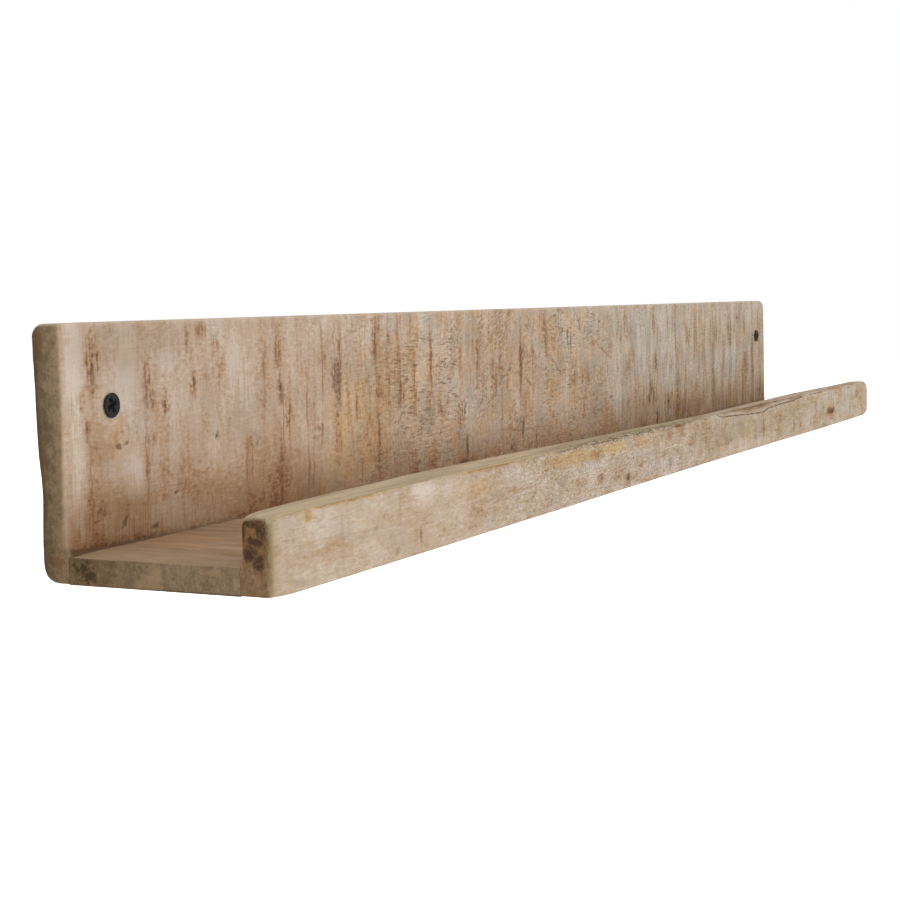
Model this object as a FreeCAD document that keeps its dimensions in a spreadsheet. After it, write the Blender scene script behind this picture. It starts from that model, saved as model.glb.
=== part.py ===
import FreeCAD, Part
import os
import re
import Sketcher

# A picture ledge made of three rustic boards, in millimetres: a back board against the wall,
# a shelf board butted against its front and a lip along the shelf's front edge.
# +X runs along the ledge, the front faces -Y and +Z is up. The origin lies on the wall plane,
# midway between the two wall screws.

SIZES = {
    # the three boards
    "board_length": 1000,  # each board, along the underside
    "back_height": 100,
    "back_thickness": 12,
    "end_skew": 3,  # the back board's ends are cut askew: its top stands this far to the left
    "shelf_depth": 76.5,  # the shelf board, from the back board to the lip
    "shelf_thickness": 11.5,
    "lip_height": 30.5,
    "lip_thickness": 15,
    # hand-sanded corners and edges
    "end_round": 4,  # corners of the boards, seen from the front
    "rear_edge_round": 3.5,  # back board, round its wall face
    "face_edge_round": 1.5,  # back board, round its front face
    "lip_face_round": 2.5,  # lip, round its front face
    "lip_rear_round": 1.5,  # lip, round its rear face
    "shelf_end_round": 1.5,  # shelf board, top edge of each end
    # where the fasteners go
    "screw_line": 68.4,  # from the underside up to the line midway between the wall screws
    "screw_tilt": 1.2,  # the left wall screw sits this far below the line, the right one above
    "wall_screw_inset": 30,  # from each end
    "shelf_screw_inset": 110,  # outer shelf screws, from each end
    "shelf_screw_count": 4,
    "shelf_screw_sink": 0.6,  # the heads sit this far below the wall face
    "nail_left_inset": 170,  # first lip nail, from the left end
    "nail_right_inset": 207,  # last lip nail, from the right end
    "nail_count": 4,
    "nail_sink": 1,  # the nail heads are punched this far below the lip's face
    "thread_clearance": 0.25,  # round a screw's thread, in the board that its head pulls tight
    "cut_overrun": 1,  # how far a cut starts outside the wood
    # wall screw, 5 x 35 countersunk, threaded where it stands out behind the back board
    "wall_screw_head_width": 10,
    "wall_screw_head_rim": 0.4,  # straight rim above the head's cone
    "wall_screw_head_cone": 3.2,  # height of the cone
    "wall_screw_neck_width": 3.6,  # plain neck between head and thread
    "wall_screw_shank_width": 5,  # over the thread's crests
    "wall_screw_length": 35,
    "wall_screw_point": 5,
    "wall_screw_cross_reach": 2.5,  # cross recess, from the axis to a wing's tip
    "wall_screw_cross_wing": 1.1,  # width of a wing
    "wall_screw_cross_depth": 2.2,
    # shelf screw, 3.5 x 40 countersunk, threaded in the shelf board
    "shelf_screw_head_width": 7,
    "shelf_screw_head_rim": 0.3,
    "shelf_screw_head_cone": 2.25,
    "shelf_screw_neck_width": 2.5,
    "shelf_screw_shank_width": 3.5,
    "shelf_screw_length": 40,
    "shelf_screw_point": 4,
    "shelf_screw_cross_reach": 1.9,
    "shelf_screw_cross_wing": 0.8,
    "shelf_screw_cross_depth": 1.6,
    # lip nail, 2 x 35 with a small lost head and a plain shank
    "nail_head_width": 2.8,
    "nail_head_rim": 0.6,
    "nail_head_cone": 0.6,
    "nail_shank_width": 2,
    "nail_length": 35,
    "nail_point": 3,
}

# places that more than one piece follows, as formulas in the sheet's names
LIP_REAR = "back_thickness + shelf_depth"
LIP_FRONT = "back_thickness + shelf_depth + lip_thickness"
LEFT_END = "-board_length / 2"
UNDERSIDE = "-screw_line"
SHELF_MIDDLE = "shelf_thickness / 2"  # height of the shelf screws and nails above the underside
WALL_SCREW_X = "(board_length / 2 - wall_screw_inset)"
SHELF_SCREW_SPAN = "(board_length - 2 * shelf_screw_inset)"
NAIL_SPAN = "(board_length - nail_left_inset - nail_right_inset)"

# radii that a fastener shares with its hole
WALL_NECK = "wall_screw_neck_width / 2"
WALL_HOLE = "wall_screw_shank_width / 2 + thread_clearance"
SHELF_NECK = "shelf_screw_neck_width / 2"
SHELF_HOLE = "shelf_screw_shank_width / 2 + thread_clearance"
NAIL_RADIUS = "nail_shank_width / 2"

TINY = 1e-6

doc = FreeCAD.newDocument("picture_ledge")
sheet = doc.addObject("Spreadsheet::Sheet", "Sizes")
for row, (alias, number) in enumerate(SIZES.items(), start=1):
    sheet.set("A%d" % row, alias)
    sheet.set("B%d" % row, str(number))
    sheet.setAlias("B%d" % row, alias)
doc.recompute()


def value(formula):
    """Number that a formula in the sheet's names gives."""
    return float(sheet.evalExpression(formula))


def bind(thing, prop, formula):
    """Tie a property to a formula in the sheet's names."""
    thing.setExpression(prop, re.sub(r"[a-z]\w+", lambda name: "Sizes." + name.group(), formula))


def new_body(label, x="0", y="0", z="0", turn=0):
    """Empty body, placed by formulas and turned about the upright axis."""
    body = doc.addObject("PartDesign::Body", label)
    body.Label = label
    place = FreeCAD.Vector(value(x), value(y), value(z))
    body.Placement = FreeCAD.Placement(place, FreeCAD.Rotation(FreeCAD.Vector(0, 0, 1), turn))
    bind(body, "Placement.Base.x", x)
    bind(body, "Placement.Base.y", y)
    bind(body, "Placement.Base.z", z)
    return body


def origin_feature(body, role):
    """The body's own origin plane or axis of that role."""
    return [item for item in body.Origin.OriginFeatures if item.Role == role][0]


def sketch_outline(body, name, plane, corners, shift=("0", "0", "0"), turn=0):
    """Closed outline of straight lines through corners, each a pair of formulas that are never
    negative. It lies in the body's own plane, moved by shift in that plane's directions and
    turned about its normal."""
    sketch = body.newObject("Sketcher::SketchObject", name)
    sketch.AttachmentSupport = [(origin_feature(body, plane), "")]
    sketch.MapMode = "FlatFace"
    sketch.AttachmentOffset = FreeCAD.Placement(
        FreeCAD.Vector(0, 0, 0), FreeCAD.Rotation(FreeCAD.Vector(0, 0, 1), turn))
    for axis, formula in zip("xyz", shift):
        bind(sketch, "AttachmentOffset.Base." + axis, formula)
    points = [FreeCAD.Vector(value(across), value(up), 0) for across, up in corners]
    for start, end in zip(points, points[1:] + points[:1]):
        sketch.addGeometry(Part.LineSegment(start, end), False)
    for line in range(len(corners)):
        before = (line - 1) % len(corners)
        sketch.addConstraint(Sketcher.Constraint("Coincident", before, 2, line, 1))
    for line, corner in enumerate(corners):
        for kind, axis, formula in zip(("DistanceX", "DistanceY"), (-2, -1), corner):
            if formula == "0":
                sketch.addConstraint(Sketcher.Constraint("PointOnObject", line, 1, axis))
                continue
            number = sketch.addConstraint(Sketcher.Constraint(kind, -1, 1, line, 1, value(formula)))
            side = "across" if kind == "DistanceX" else "up"
            sketch.renameConstraint(number, "%s_%d" % (side, line))
            bind(sketch, "Constraints.%s_%d" % (side, line), formula)
    doc.recompute()
    return sketch


def pad(body, sketch, length):
    """Solid from an outline on the front plane, running towards the front."""
    feature = body.newObject("PartDesign::Pad", body.Label + "_blank")
    feature.Profile = sketch
    bind(feature, "Length", length)
    doc.recompute()


def round_edges(body, name, radius, chosen):
    """Fillet of the edges whose bounding box passes the test."""
    base = body.Tip
    edges = ["Edge%d" % number for number, edge in enumerate(base.Shape.Edges, start=1)
             if chosen(edge.BoundBox)]
    if not edges:
        raise RuntimeError("no edge found for " + name)
    feature = body.newObject("PartDesign::Fillet", name)
    feature.Base = (base, edges)
    bind(feature, "Radius", radius)
    doc.recompute()


def check_removed(body, before, name):
    """Stop if a cut took no wood away."""
    if body.Shape.Volume > before - TINY:
        raise RuntimeError(name + " cuts nothing")


def turned_cut(body, name, section, place, turn=0, count=None, span=None):
    """Round hole from a half section, alone or in a row along the board. Turned by 180 degrees
    it enters from the rear."""
    before = body.Shape.Volume
    sketch = sketch_outline(body, name + "_section", "XY_Plane", section, place, turn)
    groove = body.newObject("PartDesign::Groove", name)
    groove.Profile = sketch
    groove.ReferenceAxis = (sketch, ["V_Axis"])
    groove.Angle = 360
    doc.recompute()
    check_removed(body, before, name)
    if count:
        before = body.Shape.Volume
        row_of_holes = body.newObject("PartDesign::LinearPattern", name + "_row")
        row_of_holes.Originals = [groove]
        row_of_holes.Direction = (origin_feature(body, "X_Axis"), [""])
        bind(row_of_holes, "Length", span)
        bind(row_of_holes, "Occurrences", count)
        body.Tip = row_of_holes
        doc.recompute()
        check_removed(body, before, name + "_row")


def along_depth(box):
    """An edge that runs straight from front to rear."""
    return box.XLength < TINY and box.ZLength < TINY


def in_plane(depth):
    """Test for edges in the plane that lies this far in front of the body's rear."""
    return lambda box: abs(box.YMin + depth) < TINY and abs(box.YMax + depth) < TINY


def fastener_section(kind, neck, thread_start=None):
    """Half section of a screw or nail: head rim, head cone, neck, shank and point. The sheet's
    names for it start with kind; each corner is a radius and a depth below the head's top. The
    neck's radius is a formula; a nail, which has no thread, keeps it as far as the point."""
    head = kind + "_head_width / 2"
    shank = kind + "_shank_width / 2"
    rim = kind + "_head_rim"
    under_head = "%s + %s_head_cone" % (rim, kind)
    shoulder = "%s_length - %s_point" % (kind, kind)
    step = [(neck, thread_start), (shank, thread_start)] if thread_start else []
    return [("0", "0"), (head, "0"), (head, rim), (neck, under_head)] + step + [
        (shank, shoulder), ("0", kind + "_length")]


def entry_section(kind, neck, sink, hole, thickness):
    """Half section of the hole through the board that holds the head, from an overrun outside
    one face to an overrun outside the other. The head sits sink below the face, on the same
    cone, which here runs down only to the radius of the hole."""
    head = kind + "_head_width / 2"
    rim = "cut_overrun + %s + %s_head_rim" % (sink, kind)
    cone_share = "(%s - (%s)) / (%s - %s)" % (head, hole, head, neck)
    cone_end = "%s + %s_head_cone * %s" % (rim, kind, cone_share)
    end = "cut_overrun + %s + cut_overrun" % thickness
    return [("0", "0"), (head, "0"), (head, rim), (hole, cone_end), (hole, end), ("0", end)]


def seat_section(kind, sink, thickness):
    """Half section of the blind hole in the board behind, as deep as the fastener reaches."""
    shank = kind + "_shank_width / 2"
    reach = "cut_overrun + %s_length + %s - %s" % (kind, sink, thickness)
    return [("0", "0"), (shank, "0"), (shank, "%s - %s_point" % (reach, kind)), ("0", reach)]


def make_back_board():
    body = new_body("back_board", LEFT_END + " - end_skew", "0", UNDERSIDE)
    outline = sketch_outline(body, "back_outline", "XZ_Plane", [
        ("end_skew", "0"), ("end_skew + board_length", "0"),
        ("board_length", "back_height"), ("0", "back_height")])
    pad(body, outline, "back_thickness")
    round_edges(body, "back_corners", "end_round", along_depth)
    round_edges(body, "back_rear_edges", "rear_edge_round", in_plane(0))
    round_edges(body, "back_face_edges", "face_edge_round", in_plane(value("back_thickness")))
    countersunk = entry_section("wall_screw", WALL_NECK, "0", WALL_HOLE, "back_thickness")
    outside = "-back_thickness - cut_overrun"
    turned_cut(body, "left_wall_screw_hole", countersunk,
               ("end_skew + wall_screw_inset", outside, "screw_line - screw_tilt"))
    turned_cut(body, "right_wall_screw_hole", countersunk,
               ("end_skew + board_length - wall_screw_inset", outside, "screw_line + screw_tilt"))
    turned_cut(body, "shelf_screw_hole",
               entry_section("shelf_screw", SHELF_NECK, "shelf_screw_sink", SHELF_HOLE,
                             "back_thickness"),
               ("end_skew + shelf_screw_inset", "cut_overrun", SHELF_MIDDLE), 180,
               "shelf_screw_count", SHELF_SCREW_SPAN)
    return body


def make_shelf_board():
    body = new_body("shelf_board", LEFT_END, "-back_thickness", UNDERSIDE)
    outline = sketch_outline(body, "shelf_outline", "XZ_Plane", [
        ("0", "0"), ("board_length", "0"),
        ("board_length", "shelf_thickness"), ("0", "shelf_thickness")])
    pad(body, outline, "shelf_depth")
    middle = value(SHELF_MIDDLE)
    round_edges(body, "shelf_bottom_corners", "end_round",
                lambda box: along_depth(box) and box.ZMax < middle)
    top = value("shelf_thickness")
    round_edges(body, "shelf_top_corners", "shelf_end_round",
                lambda box: along_depth(box) and box.ZMin > top - TINY)
    turned_cut(body, "shelf_screw_seat",
               seat_section("shelf_screw", "shelf_screw_sink", "back_thickness"),
               ("shelf_screw_inset", "cut_overrun", SHELF_MIDDLE), 180,
               "shelf_screw_count", SHELF_SCREW_SPAN)
    turned_cut(body, "nail_seat", seat_section("nail", "nail_sink", "lip_thickness"),
               ("nail_left_inset", "-shelf_depth - cut_overrun", SHELF_MIDDLE), 0,
               "nail_count", NAIL_SPAN)
    return body


def make_front_lip():
    body = new_body("front_lip", LEFT_END, "-(%s)" % LIP_REAR, UNDERSIDE)
    outline = sketch_outline(body, "lip_outline", "XZ_Plane", [
        ("0", "0"), ("board_length", "0"),
        ("board_length", "lip_height"), ("0", "lip_height")])
    pad(body, outline, "lip_thickness")
    round_edges(body, "lip_corners", "end_round", along_depth)
    round_edges(body, "lip_face_edges", "lip_face_round", in_plane(value("lip_thickness")))
    round_edges(body, "lip_rear_edges", "lip_rear_round", in_plane(0))
    turned_cut(body, "nail_hole",
               entry_section("nail", NAIL_RADIUS, "nail_sink", NAIL_RADIUS, "lip_thickness"),
               ("nail_left_inset", "-lip_thickness - cut_overrun", SHELF_MIDDLE), 0,
               "nail_count", NAIL_SPAN)
    return body


def make_fastener(label, section, x, y, z, turn=0):
    """Screw or nail of revolution. Its head faces the front, or the rear when it is turned."""
    body = new_body(label, x, y, z, turn)
    sketch = sketch_outline(body, label + "_section", "XY_Plane", section)
    feature = body.newObject("PartDesign::Revolution", label + "_turned")
    feature.Profile = sketch
    feature.ReferenceAxis = (sketch, ["V_Axis"])
    feature.Angle = 360
    doc.recompute()
    return body


def cut_cross_recess(body, kind):
    """Cross-shaped driving recess in the head."""
    reach = kind + "_cross_reach"
    far = "2 * " + reach
    low = "%s - %s_cross_wing / 2" % (reach, kind)
    high = "%s + %s_cross_wing / 2" % (reach, kind)
    cross = [(low, "0"), (high, "0"), (high, low), (far, low), (far, high), (high, high),
             (high, far), (low, far), (low, high), ("0", high), ("0", low), (low, low)]
    before = body.Shape.Volume
    sketch = sketch_outline(body, body.Label + "_cross", "XZ_Plane", cross,
                            ("-" + reach, "-" + reach, "0"))
    feature = body.newObject("PartDesign::Pocket", body.Label + "_recess")
    feature.Profile = sketch
    bind(feature, "Length", kind + "_cross_depth")
    doc.recompute()
    check_removed(body, before, body.Label + "_recess")


def place_in_row(number, count, left, right):
    """Formula for the place of one of a row of fasteners, counted from 0 at the left."""
    span = "(board_length - %s - %s)" % (left, right)
    return "%s + %s + %d * %s / (%s - 1)" % (LEFT_END, left, number, span, count)


def make_fasteners():
    fasteners = []
    section = fastener_section("wall_screw", WALL_NECK, "back_thickness")
    for side, sign in (("left", "-"), ("right", "")):
        screw = make_fastener("wall_screw_" + side, section, sign + WALL_SCREW_X,
                              "-back_thickness", sign + "screw_tilt")
        cut_cross_recess(screw, "wall_screw")
        fasteners.append(screw)
    middle = "%s + %s" % (UNDERSIDE, SHELF_MIDDLE)
    section = fastener_section("shelf_screw", SHELF_NECK, "back_thickness - shelf_screw_sink")
    for number in range(int(value("shelf_screw_count"))):
        place = place_in_row(number, "shelf_screw_count", "shelf_screw_inset",
                             "shelf_screw_inset")
        screw = make_fastener("shelf_screw_%d" % (number + 1), section, place,
                              "-shelf_screw_sink", middle, 180)
        cut_cross_recess(screw, "shelf_screw")
        fasteners.append(screw)
    section = fastener_section("nail", NAIL_RADIUS)
    for number in range(int(value("nail_count"))):
        place = place_in_row(number, "nail_count", "nail_left_inset", "nail_right_inset")
        fasteners.append(make_fastener("lip_nail_%d" % (number + 1), section, place,
                                       "-(%s) + nail_sink" % LIP_FRONT, middle))
    return fasteners


pieces = [make_back_board(), make_shelf_board(), make_front_lip()] + make_fasteners()
doc.recompute()

for item in doc.Objects:
    if "Invalid" in item.State or "Error" in item.State:
        raise RuntimeError(item.Label + " did not build")
for piece in pieces:
    if piece.Shape.isNull() or not piece.Shape.isValid():
        raise RuntimeError(piece.Label + " has no sound shape")

os.makedirs("parts", exist_ok=True)
for piece in pieces:
    piece.Shape.exportStep("parts/%s.step" % piece.Label)
    box = piece.Shape.BoundBox
    print("%-18s x %8.2f %8.2f  y %8.2f %6.2f  z %7.2f %6.2f  %10.1f mm3" % (
        piece.Label, box.XMin, box.XMax, box.YMin, box.YMax, box.ZMin, box.ZMax,
        piece.Shape.Volume))
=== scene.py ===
# %% [markdown]
# # A picture ledge of three rough boards
#
# The real thing is a metre of reclaimed wood: a back board that screws to the wall, a shelf board
# and an upstanding front lip. The measured solids come first and stay the frame for everything:
# they say where each piece is, in metres, so nothing has to be fitted by eye.

# %% Load the measured solids
import math

import bmesh
import bpy
import numpy as np
from mathutils import Matrix, Vector


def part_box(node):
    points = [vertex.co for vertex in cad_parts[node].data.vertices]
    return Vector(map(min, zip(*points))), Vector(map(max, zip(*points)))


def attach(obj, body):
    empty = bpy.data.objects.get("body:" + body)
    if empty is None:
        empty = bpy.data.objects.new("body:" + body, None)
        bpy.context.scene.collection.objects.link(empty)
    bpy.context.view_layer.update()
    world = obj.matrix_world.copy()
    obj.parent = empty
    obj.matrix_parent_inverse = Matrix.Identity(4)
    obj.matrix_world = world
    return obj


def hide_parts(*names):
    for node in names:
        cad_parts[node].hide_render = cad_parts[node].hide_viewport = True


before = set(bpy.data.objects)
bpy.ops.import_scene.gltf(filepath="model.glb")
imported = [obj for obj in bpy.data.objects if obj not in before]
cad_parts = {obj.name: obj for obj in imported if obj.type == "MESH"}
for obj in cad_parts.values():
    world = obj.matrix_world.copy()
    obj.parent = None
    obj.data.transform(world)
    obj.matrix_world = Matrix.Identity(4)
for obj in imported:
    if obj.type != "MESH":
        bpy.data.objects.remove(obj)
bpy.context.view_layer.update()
print("solids:", ", ".join(sorted(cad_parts)))

# %% [markdown]
# ## The camera
#
# The photograph was taken from the left, close to the ledge and just above it, which makes the
# left end large and the right end small. A camera fitted to the measured edges stands 1.03 m to
# the left of the middle, 0.43 m from the wall and 40 mm above the screws. Only the same place and
# the same lens give the same perspective, so both are set as numbers. No shift is needed.

# %% Camera
CAMERA_PLACE = (-1.03429, -0.42761, 0.03953)
CAMERA_TURN, CAMERA_RISE, CAMERA_TILT = 25.417, -5.02, -0.86   # degrees
CAMERA_LENS = 69.94                                           # mm, on a 36 mm sensor


def camera_axes(turn, rise, tilt):
    """The camera's right, up and back directions: it looks turn degrees from +X towards +Y and
    rise degrees above the level, and is then rolled by tilt degrees about its own line of sight."""
    turn, rise, tilt = np.radians([turn, rise, tilt])
    look = np.array([np.cos(rise) * np.cos(turn), np.cos(rise) * np.sin(turn), np.sin(rise)])
    level = np.array([np.sin(turn), -np.cos(turn), 0.0])
    over = np.cross(level, look)
    right = np.cos(tilt) * level + np.sin(tilt) * over
    up = -np.sin(tilt) * level + np.cos(tilt) * over
    return np.column_stack([right, up, -look])


camera = bpy.data.objects.new("camera", bpy.data.cameras.new("camera"))
bpy.context.scene.collection.objects.link(camera)
bpy.context.scene.camera = camera
camera.data.sensor_width = 36.0
camera.data.lens = CAMERA_LENS
camera.data.clip_start, camera.data.clip_end = 0.02, 100.0
camera.matrix_world = (Matrix.Translation(CAMERA_PLACE)
                       @ Matrix(camera_axes(CAMERA_TURN, CAMERA_RISE, CAMERA_TILT)).to_4x4())
print("camera at", CAMERA_PLACE, "lens", CAMERA_LENS)

# %% [markdown]
# ## Patterns from numbers
#
# Wood is never even, so nearly everything below needs soft random lumps: for worn edges, for saw
# marks, for where a stain ends. A block of random numbers, mixed smoothly from one to the next,
# gives the same lumps each run. Stretching the lumps along one direction turns them into grain.

# %% Soft random lumps
DICE = np.random.default_rng(11).random((32, 32, 32))


def ease(value, low, high):
    """0 below low, 1 above high, and a smooth S between them. low may be above high."""
    share = np.clip((value - low) / (high - low), 0.0, 1.0)
    return share * share * (3 - 2 * share)


def lumps(points, size, seed=0):
    """Random lumps from -1 to 1 at points (..., 3), size mm long along x, y and z. Each point
    lies in a cell of DICE and takes the eight corner numbers, each weighted by how near it is."""
    place = np.asarray(points) / np.asarray(size, float) + 7.31 * seed
    cell = np.floor(place).astype(int)
    near = ease(place - cell, 0.0, 1.0)
    total = np.zeros(place.shape[:-1])
    for corner in np.ndindex(2, 2, 2):
        share = np.prod(np.where(np.array(corner) == 1, near, 1 - near), axis=-1)
        total += share * DICE[tuple(np.moveaxis((cell + corner) % 32, -1, 0))]
    return 2 * total - 1


def along(x, size, seed=0):
    """The same lumps for a line of places x in mm."""
    x = np.asarray(x, float)
    return lumps(np.stack([x, 0 * x, 0 * x], -1), (size, 1, 1), seed)


def stations(start, end, step, close=(), close_step=1.0, reach=6.0):
    """Places from start to end, about step mm apart, and close_step apart within reach of each
    place in close. Places per mm are added up along the line, and one is set at each whole number."""
    fine = np.linspace(start, end, 8001)
    gap = np.interp(fine, [start, end], step) if np.ndim(step) else np.full(fine.shape, step)
    for spot in close:
        gap += (close_step - gap) * np.exp(-((fine - spot) / reach) ** 6)
    total = np.concatenate([[0.0], np.cumsum(np.diff(fine) / gap[1:])])
    return np.interp(np.linspace(0, total[-1], round(total[-1]) + 1), total, fine)


print("lumps between", DICE.min().round(3), "and", DICE.max().round(3))

# %% [markdown]
# ## One surface for all three boards
#
# Each board is a rectangle with four rounded corners, carried along the ledge. Both can change on
# the way: the edges are worn more in some places, and the corners at the ends are rubbed round. A
# grid does this well: one direction runs along the board, the other round its section. At an end
# the section is drawn in to its own middle line, where points of the two halves that meet are
# welded.

# %% A board as a grid
MM = 1000.0          # millimetres in a metre: shapes are worked out in mm
ARC_STEPS = 5        # steps round a corner of the section
CAP_STEPS = 9        # rows from the edge of an end in to its middle line
LEAST_ROUND = 0.05   # mm, the smallest corner radius
WELD = 2e-6          # m, points of an end nearer than this become one


def section_columns(rear, depth, front):
    """The columns of the grid, round the section from below the rear, up, over and back. A column
    on a corner has an angle. One on a flat side lies a share of the way from the corner before
    it to the corner after it; rear, depth and front are those shares, counted from the bottom or
    the rear. Returns corner a, angle a, corner b, angle b, share."""
    rows = []
    for corner, shares in enumerate((rear, depth, 1 - front[::-1], 1 - depth[::-1])):
        start = -90.0 + 90.0 * corner
        rows += [(corner, angle, corner, angle, 0.0)
                 for angle in np.linspace(start, start + 90.0, ARC_STEPS + 1)]
        rows += [(corner, start + 90.0, (corner + 1) % 4, start + 90.0, share)
                 for share in shares[1:-1]]
    return np.array(rows).T


def section_points(box, radii, columns):
    """Points (rows, columns, 2) of rounded rectangles. box is (rows, 4): lowest y, highest y,
    lowest z, highest z; radii is (rows, 4), for the corners rear-bottom, rear-top, front-top and
    front-bottom. A corner point is the corner's centre plus its radius in the angle's direction."""
    y0, y1, z0, z1 = box.T
    corners = np.stack([np.stack([y1, y1, y0, y0], 1), np.stack([z0, z1, z1, z0], 1)], -1)
    inward = np.array([(-1, 1), (-1, -1), (1, -1), (1, 1)])
    centres = corners + inward * radii[:, :, None]
    first, angle_a, second, angle_b, share = columns
    first, second = first.astype(int), second.astype(int)

    def ends(corner, angle):
        angle = np.radians(angle)
        way = np.stack([np.cos(angle), np.sin(angle)], -1)
        return centres[:, corner] + radii[:, corner, None] * way, way

    a, way = ends(first, angle_a)
    b, _ = ends(second, angle_b)
    return a + share[:, None] * (b - a), way


def lay_board(ends, end_rounds, bare, places, section, columns, touching=None):
    """The board's grid before its relief: points (rows, columns, 3), outward directions, the cap
    share of each row and the middle line. An end is a quarter round: at angle b the row stands
    its radius (1 - cos b) from the end, and each side is drawn in by its share in bare (front,
    rear, bottom, top) of the radius (1 - sin b). touching(points) is 1 where the front or rear
    side lies against another board, so that it isn't drawn in there."""
    b = np.radians(np.linspace(0, 90, ARC_STEPS + 2))[:-1]
    cap = np.linspace(1, 0, CAP_STEPS + 1)[:-1]
    from_end = np.concatenate([0 * cap, 1 - np.cos(b)])
    drawn = np.concatenate([0 * cap + 1, 1 - np.sin(b)])
    end_way = np.concatenate([0 * cap + 1, np.cos(b)])
    end_cap = np.concatenate([cap, 0 * b])
    (left, right), (left_round, right_round) = ends, end_rounds
    body = places[(places > left + left_round) & (places < right - right_round)]
    body = np.concatenate([[left + left_round], body, [right - right_round]])
    x = np.concatenate([left + left_round * from_end, body, (right - right_round * from_end)[::-1]])
    inset = np.concatenate([left_round * drawn, 0 * body, right_round * drawn[::-1]])[:, None]
    lean = np.concatenate([-end_way, 0 * body, end_way[::-1]])
    cap = np.concatenate([end_cap, 0 * body, end_cap[::-1]])[:, None]
    box, radii = section(x)
    front, rear, bottom, top = bare

    def outline(front, rear, corner_radii):
        drawn_in = box + inset * np.array([front, -rear, bottom, -top])
        shares = np.array([rear + bottom, rear + top, front + top, front + bottom]) / 2
        smaller = np.maximum(corner_radii - inset * shares, LEAST_ROUND)
        return drawn_in, *section_points(drawn_in, smaller, columns)

    drawn_in, flat, way = outline(front, rear, radii)
    if touching is not None:
        _, full, _ = outline(0.0, 0.0, radii)
        flat = flat + touching(flat)[..., None] * (full - flat) * [1, 0]
    low, high = drawn_in[:, 0::2], drawn_in[:, 1::2]
    half = (high - low).min(1)[:, None] / 2
    _, plain, _ = outline(front, rear, 0 * radii + max(end_rounds) + 0.5)
    middle = np.clip(plain, (low + half)[:, None], (high - half)[:, None])
    points = np.concatenate([np.broadcast_to(x[:, None, None], flat.shape[:2] + (1,)), flat], -1)
    upright = np.sqrt(1 - lean ** 2)[:, None, None]
    ways = np.concatenate([np.broadcast_to(lean[:, None, None], points[..., :1].shape),
                           np.broadcast_to(way, flat.shape) * upright], -1)
    return points, ways, cap, middle


def grid_mesh(name, points, layers=()):
    """A tube of quads from points (rows, columns, 3) in mm. layers is a dict: each entry is kept
    as a value or a colour on the vertices. The first and last row are welded where they touch."""
    rows, columns = points.shape[:2]
    index = np.arange(rows * columns).reshape(rows, columns)
    ahead = np.roll(index, -1, axis=1)
    quads = np.stack([index[:-1], ahead[:-1], ahead[1:], index[1:]], -1).reshape(-1, 4)
    mesh = bpy.data.meshes.new(name)
    mesh.from_pydata(points.reshape(-1, 3) / MM, [], quads)
    for key, values in dict(layers).items():
        sort = "FLOAT_VECTOR" if values.ndim == 3 else "FLOAT"
        place = mesh.attributes.new(key, sort, "POINT")
        place.data.foreach_set("vector" if values.ndim == 3 else "value",
                               np.ascontiguousarray(values, np.float32).ravel())
    shell = bmesh.new()
    shell.from_mesh(mesh)
    shell.verts.ensure_lookup_table()
    ends = [shell.verts[i] for i in (*index[0], *index[-1])]
    bmesh.ops.remove_doubles(shell, verts=ends, dist=WELD)
    shell.to_mesh(mesh)
    shell.free()
    mesh.shade_smooth()
    piece = bpy.data.objects.new(name, mesh)
    bpy.context.scene.collection.objects.link(piece)
    return piece


def measure(piece):
    """Prints what was made: triangles, open edges and enclosed volume, which is positive only if
    the faces point outwards."""
    shell = bmesh.new()
    shell.from_mesh(piece.data)
    loose = sum(1 for edge in shell.edges if len(edge.link_faces) != 2)
    count = sum(len(face.verts) - 2 for face in shell.faces)
    print(f"{piece.name}: {count} triangles, {loose} open edges,"
          f" {shell.calc_volume(signed=True) * 1e6:.1f} cm3")
    shell.free()


print("four plain corners and sides have",
      section_columns(*[np.linspace(0, 1, 7)] * 3).shape[1], "columns")

# %% [markdown]
# ## Worn ends, rubbed edges and sunk holes
#
# A few small helpers shape every board. A worn corner is part of an ellipse, seen from the front.
# A rubbed edge has a radius that wanders. A hole is pressed into the grid: points inside its rim
# go down, and points just beside the rim are drawn onto it, which keeps the rim round.

# %% Helpers for wear and holes
def worn_corner(distance, wide, high):
    """How much lower an edge lies at a distance from the board's end: an ellipse that is high at
    the end itself and nothing at wide."""
    share = np.clip(distance / wide, 0, 1)
    return high * (1 - np.sqrt(1 - (1 - share) ** 2))


def rubbed(x, radius, change, seed):
    """An edge radius along x: it wanders slowly by a share, with some short nicks on top."""
    slow = along(x, 70.0, seed) + 0.5 * along(x, 19.0, seed + 1)
    nicks = ease(along(x, 8.0, seed + 2) + 0.4 * along(x, 3.1, seed + 3), 0.55, 0.95)
    return radius * (1 + change * slow) + 0.9 * radius * nicks * change


def hump(x, centre, wide):
    """A smooth hump of height 1, about wide to each side of centre."""
    return np.exp(-((x - centre) / wide) ** 2)


def sink_hole(points, side, centre, rim, deep, taper, snap=0.35):
    """Presses a round hole into a side that faces -Y or +Y. centre is (x, z), rim the radius,
    deep how far its edge drops straight down and taper how much deeper it gets per mm inwards.
    Points nearer to the rim than snap are drawn onto it."""
    plane = points[..., 0::2] - np.array(centre)
    away = np.linalg.norm(plane, axis=-1)
    beside = (np.abs(away - rim) < snap) & side
    scale = np.where(beside, rim / np.maximum(away, 1e-6), 1.0)
    points[..., 0::2] = np.array(centre) + plane * scale[..., None]
    inside = side & (away < rim - snap * 0.9)
    drop = np.where(inside, deep + taper * (rim - away), 0.0)
    points[..., 1] -= np.sign(points[..., 1] - points[..., 1].mean()) * drop


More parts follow.
